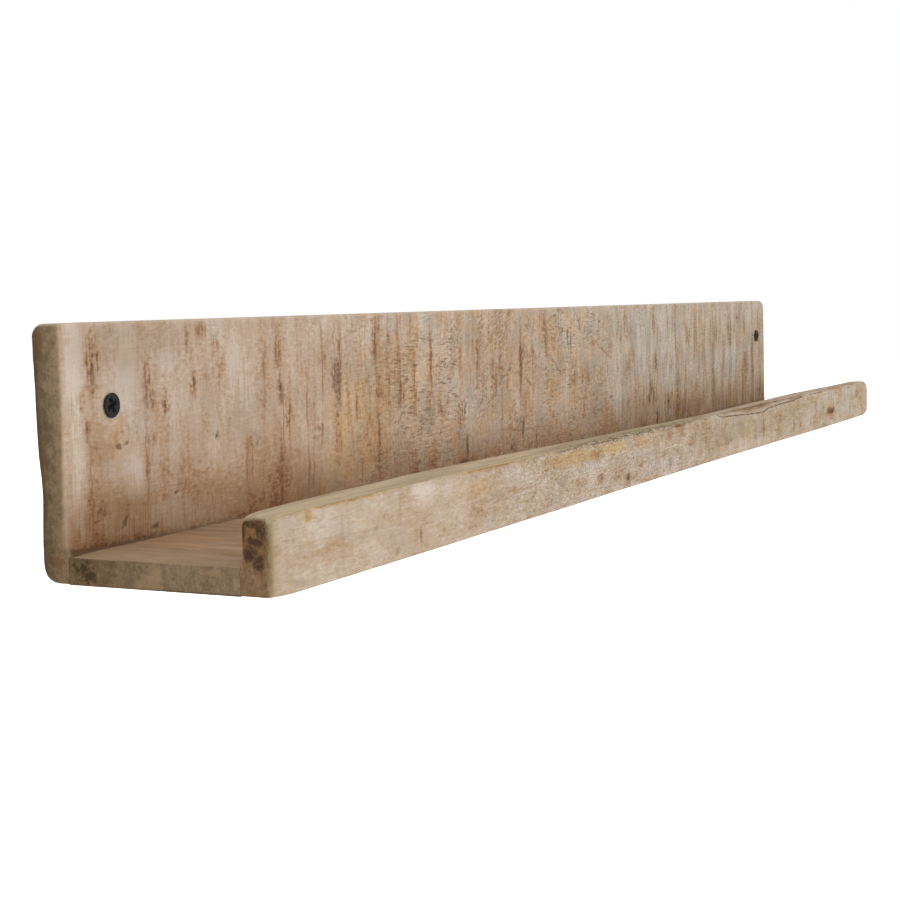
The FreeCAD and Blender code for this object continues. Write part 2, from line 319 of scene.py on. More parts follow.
print("a worn corner 8 mm wide and 5 high, 2 mm from the end, is down by",
      round(float(worn_corner(2.0, 8.0, 5.0)), 2), "mm")

# %% [markdown]
# ## The back board
#
# It is the plank that shows most: 1 m long, 100 mm high and 12 mm thick. Its ends were sawn a
# little out of square, so the top stands 3 mm further left than the bottom, and at the right end
# a few mm more. The face keeps the saw's marks, which run across the board: shallow ripples, and
# broader waves at the right end. The left end has a hollow worn into its rear edge.

# %% Back board shape
low, high = [np.array(corner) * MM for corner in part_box("back_board")]
BACK_REAR, BACK_FACE = high[1], low[1]
BOTTOM, TOP = low[2], high[2]
shelf_low, shelf_high = [np.array(corner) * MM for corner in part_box("shelf_board")]
LEFT, RIGHT = shelf_low[0], shelf_high[0]
SHELF_TOP = shelf_high[2]
SKEW = 3.0                # how far left of the bottom the top stands
END_SLANT = 3.6           # how much further left the top stands at the right end
HOLLOW_HEIGHT = -34.0     # of the hollow in the left end
HOLLOW_DEEP = 1.4
FLAT_FROM = 1.7           # where the flat part of a side begins, above the bottom
BACK_FLAT = 96.6          # how high the flat part of the back board's face is
SCREW_PLACES = {"left": (-470.0, -1.2), "right": (470.0, 1.2)}
SHELF_SCREW_X = (-390.0, -130.0, 130.0, 390.0)
FIXING_HEIGHT = -62.65    # of the shelf screws and the nails


def back_section(x):
    """The back board's section at each x: box (y0, y1, z0, z1) and four corner radii. Behind, the
    left end's corners are worn into large rounds; the right end's top corner is rubbed down."""
    from_left, from_right = x - LEFT, RIGHT - x
    top = TOP - 0.05 * (1 - along(x, 110.0, 3))
    top -= worn_corner(from_left, 5.0, 1.0) + worn_corner(from_right, 13.0, 6.0)
    bottom = BOTTOM + 0.06 * (1 + along(x, 90.0, 5)) + worn_corner(from_right, 7.0, 3.0)
    bottom += worn_corner(from_left, 6.0, 0.3)
    face = BACK_FACE + 0.10 + 0.08 * along(x, 130.0, 6)
    box = np.stack([face, 0 * x + BACK_REAR, bottom, top], 1)
    radii = np.stack([rubbed(x, 1.8, 0.4, 10) + 4.4 * hump(from_left, 0, 20),
                      rubbed(x, 1.0, 0.4, 20) + 2.0 * hump(from_left, 0, 14),
                      rubbed(x, 1.2, 0.45, 30), 0 * x + 0.3], 1)
    return box, radii


def against_shelf(flat):
    """1 where a point (y, z) lies low enough to touch the shelf board."""
    return ease(flat[..., 1], SHELF_TOP + 1.2, SHELF_TOP - 0.6)


def back_relief(points, ways):
    """Height of the back board's surface, in mm, never above 0: saw ripples and waves on the
    faces, and short torn fibres from a quarter of the way on."""
    x = points[..., 0]
    on_face = np.abs(ways[..., 1]) ** 2
    ripple = 0.05 * lumps(points, (2.6, 40, 46), 1) + 0.035 * lumps(points, (1.4, 40, 16), 2)
    torn = ease(x, -330, -170) * ease(lumps(points, (60, 40, 40), 3), -0.5, 0.4)
    ripple += torn * 0.06 * lumps(points, (3.0, 9, 2.4), 4)
    swell = 0.16 * lumps(points, (85, 40, 60), 5)
    bands = ease(x, 250, 400) * 0.12 * np.sin(x * 2 * np.pi / 11.5 + lumps(points, (40, 9, 50), 6))
    height = on_face * (ripple + swell + bands - 0.28)
    return np.minimum(height, 0) * ease(points[..., 2], SHELF_TOP - 4, SHELF_TOP + 1)


def end_pits(points):
    """Height of a sawn end, in mm, never above 0: soft pits, coarse and fine."""
    pits = 0.16 * lumps(points, (3, 2.3, 3.1), 7) + 0.1 * lumps(points, (1, 1.2, 1.3), 8)
    return np.minimum(pits - 0.2, 0)


def height_shares(height, flat, step, close_step, reach):
    """Where the grid's columns lie up a side whose flat part is flat mm high, as shares of it:
    step mm apart, and close_step within reach of the height of a fixing."""
    spot = (height - BOTTOM - FLAT_FROM) / flat
    return stations(0, 1, step / flat, (spot,), close_step / flat, reach / flat)


def skew_at(z):
    """How far left of its place at the bottom a point of the back board stands at height z."""
    return SKEW * (z - BOTTOM) / (TOP - BOTTOM)


def finish_board(points, ways, cap, middle, relief):
    """Moves the grid by its relief along the outward directions, and draws the end rows in to the
    middle line. On a sawn end the relief acts lengthwise only, so that the seam still meets."""
    points = points.copy()
    points[..., 1:] += ways[..., 1:] * (relief * (cap == 0))[..., None]
    points[..., 1:] += cap[..., None] * (middle - points[..., 1:])
    points[..., 0] += ways[..., 0] * end_pits(points)
    return points


back_columns = section_columns(
    rear=height_shares(FIXING_HEIGHT, BACK_FLAT, 4.5, 0.85, 6.0), depth=np.linspace(0, 1, 7),
    front=height_shares(0.0, BACK_FLAT, 1.6, 0.85, 6.0))
back_fixings = [x + skew_at(z) for x, z in SCREW_PLACES.values()] + list(SHELF_SCREW_X)
back_places = stations(LEFT, RIGHT, (1.6, 2.4), back_fixings + [LEFT, RIGHT], 0.8, 5.5)
grid, ways, cap, middle = lay_board(
    ends=(LEFT, RIGHT), end_rounds=(3.6, 1.0), bare=(1.0, 0.1, 0.1, 0.7), places=back_places,
    section=back_section, columns=back_columns,
    touching=lambda flat: against_shelf(flat) * (flat[..., 0] < BACK_FACE + 3.5))
grid = finish_board(grid, ways, cap, middle, back_relief(grid, ways))
hollow = hump(grid[..., 2], HOLLOW_HEIGHT, 12.0) * ease(grid[..., 1], -7.0, 0.0)
grid[..., 0] += HOLLOW_DEEP * hollow * ease(grid[..., 0], LEFT + 9, LEFT)
up = (grid[..., 2] - BOTTOM) / (TOP - BOTTOM)
grid[..., 0] -= skew_at(grid[..., 2]) + END_SLANT * up * ease(grid[..., 0], RIGHT - 22, RIGHT)
for place in SCREW_PLACES.values():
    sink_hole(grid, (ways[..., 1] < -0.7) & (cap == 0), place, rim=4.25, deep=0.1, taper=1.0)
for x in SHELF_SCREW_X:
    sink_hole(grid, (ways[..., 1] > 0.7) & (cap == 0), (x, FIXING_HEIGHT),
              rim=3.6, deep=0.6, taper=0.9)
# Brown dirt in clusters: x, z, half width, half height, amount (below 0 where the wood is clean).
BACK_SOIL = [
    (-481, 17, 6, 14, 0.9), (-489, 1, 2, 6, 0.7), (-485, -10, 2, 5, 0.6), (-470, 28, 6, 3, 0.4),
    (-445, 6, 3, 17, 0.8), (-441, 0, 3, 6, 0.5), (-432, -3, 3, 8, 1.0), (-446, -28, 2, 12, 0.5),
    (-443, -17, 4, 3, 0.6), (-416, 24, 2, 6, 0.8), (-411, 3, 3, 8, 0.9), (-405, 27, 7, 4, 0.6),
    (-395, 20, 4, 6, 0.6), (-388, 12, 2, 6, 0.6), (-420, -25, 8, 20, 0.3), (-402, -12, 4, 7, 0.4),
    (-342, 15, 3, 9, 0.6), (-340, -3, 4, 8, 1.0), (-340, -30, 2, 16, 0.35),
    (-333, -12, 3, 11, 0.6), (-354, -8, 6, 10, 0.4), (-366, -24, 5, 8, 0.4),
    (-316, -8, 3, 20, 0.5), (-300, 12, 3, 18, 0.45), (-284, 8, 3, 22, 0.6),
    (-287, -28, 5, 14, 0.7), (-303, -24, 7, 8, 0.5), (-325, -8, 3, 8, 0.4),
    (-492, -25, 5, 30, -0.5), (-494, 14, 6, 26, -0.6), (-460, 12, 8, 14, -0.6),
    (-455, -30, 6, 14, -0.5), (-430, 18, 7, 9, -0.6), (-372, 5, 10, 14, -0.4),
    (-337, -45, 8, 10, 0.2), (-440, -50, 60, 8, -0.5), (-247, 18, 2.5, 12, 0.8),
    (-244, -8, 5, 11, 0.8), (-243, -34, 2.5, 22, 0.7), (-267, -14, 2, 10, 0.8),
    (-275, -10, 3, 12, 0.5), (-238, -12, 4, 8, 0.7), (-231, -5, 3, 16, 0.5), (-231, 18, 3, 5, 0.5),
    (-219, 0, 3, 22, 0.5), (-216, -10, 4, 8, 0.6), (-217, -33, 4, 12, 0.4),
    (-202, -3, 2.5, 20, 0.6), (-182, 5, 3, 20, 0.9), (-181, -50, 3, 9, 0.6),
    (-176, -46, 5, 10, 0.7), (-145, 2, 4, 18, 0.6), (-141, -28, 6, 10, 0.5), (-157, 0, 6, 8, 0.4),
    (-120, 2, 3, 16, 0.8), (-112, -12, 4, 14, 0.7), (-99, -8, 3, 14, 0.7),
    (-95, -12, 2.5, 10, 0.9), (-89, 5, 2, 9, 0.5), (-86, -30, 2, 14, 0.5), (-74, -38, 3, 6, 0.5),
    (-57, 5, 3, 28, 0.8), (-258, 12, 8, 14, -0.4), (-193, -35, 10, 8, -0.3),
    (-150, -8, 8, 8, -0.4), (-72, 10, 9, 14, -0.5), (-65, -25, 5, 12, -0.4), (-48, 22, 5, 9, 0.5),
    (-38, 0, 2.5, 18, 0.5), (-19, 20, 3, 11, 0.7), (-15, -8, 2.5, 14, 0.4), (2, 25, 5, 6, 0.5),
    (8, 18, 3, 9, 0.6), (-9, -23, 4, 5, 0.6), (0, -26, 4, 6, 0.5), (30, -17, 5, 8, 0.6),
    (42, 22, 4, 8, 0.5), (47, -15, 3, 7, 0.7), (58, -14, 9, 8, 0.8), (74, -25, 4, 7, 0.8),
    (66, 24, 7, 4, 0.5), (90, 24, 2, 6, 0.7), (97, 17, 2.5, 11, 0.7), (100, 4, 4, 5, 0.7),
    (113, 12, 3, 9, 0.5), (114, 27, 4, 4, 0.5), (129, 20, 3, 11, 0.7), (136, 12, 5, 9, 0.7),
    (137, -10, 8, 9, 0.7), (143, 12, 2.5, 10, 0.4), (137, -36, 3, 8, 0.6), (192, 20, 3, 15, 0.8),
    (196, -10, 5, 12, 0.9), (195, -34, 5, 14, 0.7), (198, -50, 6, 8, 0.8), (165, 0, 16, 20, -0.5),
    (222, -44, 7, 8, 0.5), (243, 16, 2.5, 16, 0.8), (248, -15, 5, 20, 0.7), (232, -14, 4, 6, 0.6),
    (249, -40, 5, 14, 0.5), (275, 6, 10, 8, 0.6), (295, -33, 4, 5, 0.6), (270, -22, 3, 20, 0.5),
    (295, 0, 5, 20, 0.3), (316, 7, 4, 5, 0.4), (341, -6, 4, 6, 0.7), (342, -30, 3, 20, 0.5),
    (362, 17, 4, 7, 0.4), (373, 22, 3, 6, 0.5), (385, 12, 4, 15, 0.9), (390, 0, 4, 7, 0.6),
    (413, 18, 8, 6, 0.7), (431, 17, 4, 9, 0.6), (408, 3, 4, 7, 0.3), (438, -25, 7, 20, 0.5),
    (457, -15, 4, 22, 0.7), (480, -5, 4, 25, 0.6), (477, 18, 5, 8, 0.7), (453, 14, 5, 9, 0.6),
    (470, -30, 4, 20, -0.4), (397, -10, 4, 12, -0.4),
]
# Where the saw changed its stroke: x, z, how far the dirt fades to the right, half height, amount.
BACK_EDGES = [
    (-486, -30, 10, 34, 0.5), (-448.5, -12, 14, 44, 0.45), (-431, -24, 6, 16, 0.3),
    (-413, -8, 5, 50, 0.35), (-395, -30, 20, 26, 0.45), (-371, -34, 7, 24, 0.5),
    (-355, -5, 5, 30, 0.25), (-338.5, -22, 6, 36, 0.35), (-316, -26, 6, 36, 0.5),
    (-301, 0, 5, 30, 0.35), (-284.5, 0, 6, 42, 0.5), (-262, -20, 5, 34, 0.3),
    (-246, -10, 5, 45, 0.7), (-233, -8, 5, 30, 0.35), (-221.5, 0, 7, 30, 0.4),
    (-203.5, 2, 6, 36, 0.45), (-183.5, 0, 8, 34, 0.6), (-160, -5, 5, 30, 0.25),
    (-146, -5, 8, 30, 0.5), (-122.5, 3, 5, 22, 0.6), (-113, -15, 6, 20, 0.4),
    (-101, -5, 4, 34, 0.5), (-96.5, -8, 3.5, 26, 0.6), (-58, -10, 4, 45, 0.6),
    (-40, 5, 4, 24, 0.35), (-27, -10, 4, 30, 0.3), (-19, 22, 4, 14, 0.5), (25, -5, 5, 40, 0.35),
    (95, 15, 5, 25, 0.5), (128, 10, 5, 24, 0.45), (192, 0, 6, 55, 0.55), (243, 0, 6, 50, 0.55),
    (270, -5, 5, 30, 0.35), (288, -20, 6, 35, 0.35), (340, 0, 7, 50, 0.35), (385, 5, 8, 45, 0.5),
    (430, 0, 6, 45, 0.35), (455, -10, 7, 40, 0.4), (478, 0, 6, 50, 0.3),
]
# Grey-violet smudges, as from a hand or a tool: the same five numbers as for the dirt.
BACK_SMOKE = [
    (-288, 1, 5, 11, 0.95), (-286, -14, 3, 16, 0.4), (-246, -8, 4, 6, 0.4), (-200, 5, 4, 5, 0.3),
    (-165, 0, 5, 6, 0.35), (-141, -24, 8, 7, 0.5), (-150, 18, 10, 9, 0.3), (-120, 2, 4, 12, 0.4),
    (-97, 2, 2, 6, 0.6), (184, -33, 4, 11, 0.5), (21, 13, 3, 8, 0.5), (30, -17, 3, 4, 0.4),
    (438, -20, 8, 14, 0.5), (275, 4, 8, 7, 0.4), (196, -12, 5, 9, 0.4), (-303, -24, 5, 6, 0.35),
    (-198, -50, 6, 5, 0.4), (-55, -42, 5, 5, 0.5), (380, -25, 14, 14, 0.25),
    (457, -15, 4, 16, 0.35), (-478, -42, 4, 4, 0.5), (-395, -19, 4, 3, 0.4),
    (-360, -22, 8, 6, 0.25), (-45, 22, 4, 8, 0.35), (60, 15, 12, 8, 0.25),
]


def dirt_layer(points, patches, ragged):
    """The amount of dirt at each point. A patch is an ellipse in x and z, full in its middle and
    gone at its edge, which soft lumps ragged mm long make uneven."""
    x, z = points[..., 0], points[..., 2]
    rough = 0.3 * lumps(points, (ragged, 40, ragged * 1.6), 61)
    total = np.zeros(x.shape)
    for place, height, wide, high, amount in patches:
        away = np.hypot((x - place) / wide, (z - height) / high)
        total += amount * ease(away + rough, 1.3, 0.2)
    return np.clip(total, -1, 1)


def edge_layer(points, edges):
    """The amount of dirt beside upright edges: sharp on the left, fading to the right."""
    x, z = points[..., 0], points[..., 2]
    x = x + 1.2 * lumps(points, (40, 40, 9), 65) + 0.4 * lumps(points, (40, 40, 2.5), 66)
    broken = 0.7 + 0.5 * lumps(points, (5, 40, 8), 67)
    total = np.zeros(x.shape)
    for place, height, fade, high, amount in edges:
        beside = ease(x - place, -0.9, 0.5) * np.exp(-np.maximum(x - place, 0) / (0.45 * fade))
        total += amount * beside * ease(np.abs(z - height) / high, 1.1, 0.5)
    return np.clip(total * broken, 0, 1)


# Soft tints: x, z, half width, half height, the colour that the wood is multiplied by.
BACK_TINTS = [
    (-281, -24, 10, 14, (1.05, 0.99, 0.86)), (-467, -13, 8, 9, (0.99, 0.87, 0.74)),
    (-240, -15, 50, 26, (1.03, 1.0, 0.91)), (-270, -42, 52, 14, (1.04, 1.02, 0.91)),
    (75, -38, 75, 20, (1.03, 1.05, 1.09)), (-196, 5, 24, 24, (1.0, 0.94, 0.85)),
    (-300, -20, 60, 30, (1.06, 1.02, 0.97)), (-425, -30, 50, 22, (1.0, 0.97, 0.94)),
    (-465, 24, 50, 13, (0.80, 0.76, 0.71)), (-468, -5, 30, 14, (1.03, 1.06, 1.09)),
    (-465, -46, 32, 16, (0.91, 0.88, 0.80)), (-372, -42, 44, 20, (1.10, 1.10, 1.09)),
    (-345, 12, 60, 18, (1.04, 1.05, 1.06)), (-448, -27, 42, 22, (1.03, 1.07, 1.12)),
    (20, -15, 60, 20, (0.98, 0.95, 0.9)), (300, 8, 60, 20, (0.98, 0.95, 0.88)),
    (420, 5, 24, 14, (0.98, 0.92, 0.84)), (-494, 0, 7, 60, (1.08, 1.09, 1.1)),
]


def tint_layer(points, tints):
    """The colour that the wood is multiplied by at each point, from soft elliptic tints."""
    coat = np.ones(points.shape)
    for place, height, wide, high, colour in tints:
        away = np.hypot((points[..., 0] - place) / wide, (points[..., 2] - height) / high)
        away += 0.25 * lumps(points, (wide / 2, 40, high / 2), 63)
        coat *= 1 - ease(away, 1.2, 0.3)[..., None] * (1 - np.array(colour))
    return coat


def end_and_edge_layers(ways):
    """How far each point faces an end, and how far it lies on a rounded edge, from 0 to 1."""
    return {"end": ways[..., 0] ** 2, "rub_and_highlight": 1 - np.abs(ways).max(-1) ** 4}


def stain_layers(points, on_front, soil, smoke, tints, ragged):
    """The dirt, the smudges and the tints of the side that faces the room."""
    return {"soil": on_front * dirt_layer(points, soil, ragged),
            "smoke": on_front * dirt_layer(points, smoke, ragged),
            "coat": np.where(on_front[..., None], tint_layer(points, tints), 1.0)}


on_front = ways[..., 1] < 0.3
back_layers = end_and_edge_layers(ways) | stain_layers(grid, on_front, BACK_SOIL, BACK_SMOKE, BACK_TINTS, 2.2)
back_layers["edges"] = on_front * edge_layer(grid, BACK_EDGES)
back_board = grid_mesh("back_board_planed", grid, back_layers)
measure(back_board)
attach(back_board, "root")
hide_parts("back_board")

# %% [markdown]
# ## The shelf board
#
# It lies between the other two, so only its upper face, its underside and its ends show. The
# saw crossed it as it crossed the back board, so its shallow ripples run from back to front.

# %% Shelf board shape
def shelf_section(x):
    """The shelf board's section: plain, with small edge radii that wander."""
    bottom = shelf_low[2] + 0.1 * (1 + along(x, 80.0, 51))
    top = shelf_high[2] - 0.12 * (1 + along(x, 100.0, 52))
    box = np.stack([0 * x + shelf_low[1], 0 * x + shelf_high[1], bottom, top], 1)
    return box, np.stack([0 * x + 0.3, rubbed(x, 0.8, 0.5, 53), rubbed(x, 0.8, 0.5, 57),
                          0 * x + 0.3], 1)


def shelf_relief(points, ways):
    """Height of the shelf board's surface, in mm, never above 0: ripples across its two broad
    faces, slow swells, and the upper edge of the left end worn down unevenly."""
    ripple = 0.06 * lumps(points, (5.0, 60, 40), 71) + 0.03 * lumps(points, (2.8, 26, 40), 72)
    swell = 0.02 * lumps(points, (20, 3, 40), 73) + 0.1 * lumps(points, (50, 24, 40), 74)
    worn = np.clip(ways[..., 2], 0, 1) ** 2 * hump(points[..., 0], LEFT, 7.0)
    worn = worn * ease(lumps(points, (60, 9, 60), 75), -0.6, 0.7)
    return np.minimum(np.abs(ways[..., 2]) ** 2 * (ripple + swell - 0.2), 0) - 0.9 * worn


shelf_columns = section_columns(
    rear=np.linspace(0, 1, 4), depth=np.linspace(0, 1, 49), front=np.linspace(0, 1, 4))
shelf_places = stations(LEFT, RIGHT, (1.2, 1.7), [LEFT, RIGHT], 0.7, 5.0)
grid, ways, cap, middle = lay_board(
    ends=(LEFT, RIGHT), end_rounds=(2.2, 1.6), bare=(0.0, 0.0, 0.1, 0.8), places=shelf_places,
    section=shelf_section, columns=shelf_columns)
grid = finish_board(grid, ways, cap, middle, shelf_relief(grid, ways))
shelf_board = grid_mesh("shelf_board_sawn", grid, end_and_edge_layers(ways))
measure(shelf_board)
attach(shelf_board, "root")
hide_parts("shelf_board")

# %% [markdown]
# ## The front lip
#
# The lip is a square-sawn strip, a little bowed and twisted: its rear top edge rises 1.3 mm near
# the left end and falls 2.5 mm towards the right one. Along its top front edge the tree's own
# edge was cut away roughly, and from the middle on a sloping facet is left there, with a split
# under it. Its ends are rubbed round, the right one most.

# %% Front lip shape
LIP_LOW, LIP_HIGH = [np.array(corner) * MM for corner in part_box("front_lip")]
LIP_FLAT = 28.0           # how high the flat part of the lip's face is
FACET_SLOPE = 1.25        # mm back for each mm up
NAIL_X = (-330.0, -122.33, 85.33, 293.0)
NAIL_DEPTHS = (0.25, 1.0, 0.2, 0.9)
# Lines along the lip, as (x, height): how far the two top edges and the lower one stray from the
# straight, and where the split runs.
REAR_TOP_EDGE = [
    (-500, 0.0), (-457, 0.64), (-372, 1.26), (-270, 0.9), (-141, -0.1), (58, -1.4), (225, -0.8),
    (289, -0.6), (387, -1.1), (459, -1.4), (500, -1.5),
]
FRONT_TOP_EDGE = [(-500, 0.0), (-90, 0.0), (100, -0.4), (300, -0.8), (500, -1.1)]
UNDER_EDGE = [
    (-500, 0.0), (-300, 0.0), (-239, 0.25), (-168, 0.35), (-86, 0.6), (10, 0.65), (124, 0.4),
    (261, 0.0), (500, 0.0),
]
SPLIT = [
    (41.9, -37.8), (59.7, -40.4), (77.9, -41.2), (93.2, -41.4), (117.4, -42.7), (136.2, -43.2),
    (162.0, -43.6), (175.3, -41.9), (206.4, -40.9), (242.4, -40.6), (270.1, -38.7),
]


def follow(x, line):
    """The height of a line of (x, height) pairs at each x."""
    return np.interp(x, *np.array(line).T)


def lip_section(x):
    """The front lip's section at each x. The front corners of the right end are the most worn."""
    from_left, from_right = x - LEFT, RIGHT - x
    top = 0 * x + LIP_HIGH[2] - worn_corner(from_left, 4.0, 0.8) - worn_corner(from_right, 8.0, 1.2)
    bottom = LIP_LOW[2] + follow(x, UNDER_EDGE) + worn_corner(from_right, 10.0, 1.4)
    bottom += worn_corner(from_left, 5.0, 0.4)
    face = LIP_LOW[1] + 0.15 + 0.1 * along(x, 60.0, 81)
    box = np.stack([face, 0 * x + LIP_HIGH[1], bottom, top], 1)
    ragged = ease(x, -260, -190) * ease(x, 60, 0)
    worn = ease(x, 20, 90)
    rear_top = rubbed(x, 1.3, 0.5, 87) + 2.6 * hump(from_left, 0, 9)
    front_top = rubbed(x, 0.7 + 0.4 * ragged + 1.2 * worn, 0.3 + 0.5 * ragged, 92)
    front_top += 4.5 * hump(from_right, 0, 9)
    front_bottom = rubbed(x, 1.0, 0.4, 97) + 2.4 * hump(from_left, 0, 9)
    front_bottom += 3.2 * hump(from_right, 0, 10)
    return box, np.stack([0 * x + 0.3, rear_top, front_top, front_bottom], 1)


def split_line(x):
    """The height of the split at x, with its small jogs, and how far open it is there."""
    jogs = 0.35 * along(x, 5.5, 101) + 0.2 * along(x, 2.3, 102)
    open_share = ease(x, 44, 66) * ease(x, 272, 262) * (0.75 + 0.35 * along(x, 14.0, 103))
    return follow(x, SPLIT) + jogs, np.clip(open_share, 0, 1)


def lip_relief(points, ways):
    """Height of the lip's surface, in mm, never above 0: fine upright saw ripples on the face,
    lengthwise furrows on top, small chips along the rough top front edge."""
    x, y, z = np.moveaxis(points, -1, 0)
    on_face, on_top = np.abs(ways[..., 1]) ** 2, np.abs(ways[..., 2]) ** 2
    right = ease(x, -60, 60)
    saw = (0.03 + 0.035 * right) * lumps(points, (2.2, 30, 26), 111)
    saw += 0.03 * lumps(points, (1.2, 20, 3.0), 112)
    dents = -0.25 * ease(lumps(points, (9, 20, 6), 113), 0.45, 0.8)
    swell = 0.14 * lumps(points, (55, 30, 22), 114)
    furrows = 0.09 * lumps(points, (60, 2.1, 30), 115) + 0.04 * lumps(points, (16, 1.1, 30), 116)
    edge = hump(z, LIP_HIGH[2] - 0.8, 1.6) * hump(y, LIP_LOW[1] + 0.5, 2.0)
    chips = ease(x, -262, -215) * ease(x, 62, 30)
    chips = chips * edge * (0.5 + 0.8 * np.abs(lumps(points, (5.0, 4, 4), 117)))
    height = on_face * (saw + dents + swell - 0.2) + on_top * (furrows - 0.12)
    return np.minimum(height, 0) - 0.9 * chips


def cut_facet(points, side):
    """Cuts the sloping facet above the split, where the surface goes back by FACET_SLOPE, and
    opens the split: in each row the point nearest to its line is moved onto it and in by up to
    1 mm. Returns the height above the line and how much of each point is facet, for the finish."""
    x, y, z = np.moveaxis(points, -1, 0)
    line, gape = split_line(x)
    strength = ease(x, 40, 75) * ease(x, 300, 262)
    facet = LIP_LOW[1] + 0.3 + FACET_SLOPE * np.maximum(z - line, 0) * strength
    facet += 0.25 * strength * lumps(points, (7, 9, 4), 121) * ease(z, line, line + 2)
    points[..., 1] = np.where(side, np.maximum(y, facet), y)
    away = np.where(side, np.abs(z - line), np.inf)
    nearest = (away == away.min(axis=1, keepdims=True)) & (away < 1.0) & (gape > 0.05)
    points[..., 2] = np.where(nearest, line, points[..., 2])
    points[..., 1] += gape * nearest
    return np.where(side & (gape > 0.05), z - line, 9.0), strength * side * (z > line)


lip_columns = section_columns(
    rear=np.linspace(0, 1, 10), depth=np.linspace(0, 1, 13),
    front=height_shares(FIXING_HEIGHT, LIP_FLAT, 1.25, 0.6, 3.2))
lip_places = stations(LEFT, RIGHT, (0.9, 1.3), list(NAIL_X) + [LEFT, RIGHT], 0.6, 4.0)
grid, ways, cap, middle = lay_board(
    ends=(LEFT, RIGHT), end_rounds=(3.6, 2.6), bare=(1.0, 0.6, 0.1, 0.7), places=lip_places,
    section=lip_section, columns=lip_columns,
    touching=lambda flat: against_shelf(flat) * (flat[..., 0] > LIP_HIGH[1] - 3.5))
grid = finish_board(grid, ways, cap, middle, lip_relief(grid, ways))
above_split, facet_share = cut_facet(grid, (ways[..., 1] < -0.1) & (cap == 0))
up = ease(grid[..., 2], LIP_LOW[2] + 6, LIP_HIGH[2])
back_share = ease(grid[..., 1], LIP_LOW[1], LIP_HIGH[1])
grid[..., 2] += up * (back_share * follow(grid[..., 0], REAR_TOP_EDGE)
                      + (1 - back_share) * follow(grid[..., 0], FRONT_TOP_EDGE))
for x, deep in zip(NAIL_X, NAIL_DEPTHS):
    sink_hole(grid, (ways[..., 1] < -0.7) & (cap == 0), (x, FIXING_HEIGHT),
              rim=1.15, deep=deep, taper=0.1, snap=0.25)
# Dirt, smudges and tints of the lip's face, as for the back board.
LIP_SOIL = [
    (-490, -58, 6, 4, 0.3), (-480, -65, 12, 2, 0.4), (-475, -41, 3, 2.5, 0.8),
    (-449, -52, 3, 13, 0.3), (-403, -64, 3, 2, 1.0), (-400, -47, 2, 6, 0.3),
    (-60, -64, 2.5, 1.2, 1.0), (-346, -60, 4, 5, 0.4), (-300, -60, 14, 6, 0.5),
    (-320, -59, 9, 3, 0.4), (-280, -52, 26, 2.5, 0.5), (-240, -45, 14, 5, 0.5),
    (-222, -55, 4, 8, 0.4), (-197, -45, 6, 6, 0.5), (-170, -46, 10, 4, 0.7),
    (-165, -58, 8, 4, 0.7), (-190, -57, 12, 3, 0.5), (-140, -60, 12, 4, 0.4),
    (-100, -57, 5, 2, 0.6), (-72, -52, 8, 7, 0.5), (-50, -46, 8, 3, 0.7), (-60, -55, 6, 3, 0.6),
    (-28, -45, 9, 3, 0.7), (-29, -39.8, 12, 2.2, 0.8), (-5, -50, 8, 8, 0.5), (5, -46, 8, 4, 0.5),
    (20, -48, 8, 5, 0.4), (35, -47, 7, 7, 0.5), (45, -58, 8, 6, 0.5), (65, -52, 11, 7, 0.45),
    (75, -58, 8, 7, 0.3), (100, -50, 10, 4, 0.5), (108, -58, 5, 7, 0.5), (137, -58, 6, 8, 0.7),
    (159, -55, 6, 10, 0.6), (205, -55, 6, 10, 0.5), (240, -50, 8, 8, 0.4), (262, -60, 7, 7, 0.6),
    (255, -46, 12, 4, 0.5), (290, -43, 14, 2, 0.6), (312, -50, 4, 10, 0.9), (335, -52, 12, 3, 0.4),
    (355, -56, 10, 4, 0.8), (385, -51, 10, 3, 0.4), (408, -46, 5, 5, 0.5), (425, -40, 7, 2.5, 0.5),
    (455, -47, 6, 5, 0.5), (480, -60, 10, 6, 0.4), (-380, -42, 16, 4, -0.8),
    (-450, -46, 40, 6, -0.4), (-430, -57, 40, 8, -0.3), (-90, -60, 12, 4, -0.5),
    (285, -60, 16, 5, -0.6), (420, -58, 30, 6, -0.5),
]
LIP_SMOKE = [
    (-381, -60, 1.8, 6, 0.8), (-346, -59, 2.5, 4, 0.4), (-48, -61, 5, 5, 0.8),
    (159, -56, 4, 10, 0.8), (70, -58, 6, 6, 0.6), (364, -57, 8, 2.8, 0.9), (-304, -52, 14, 3, 0.4),
    (-165, -59, 5, 4, 0.3),
]
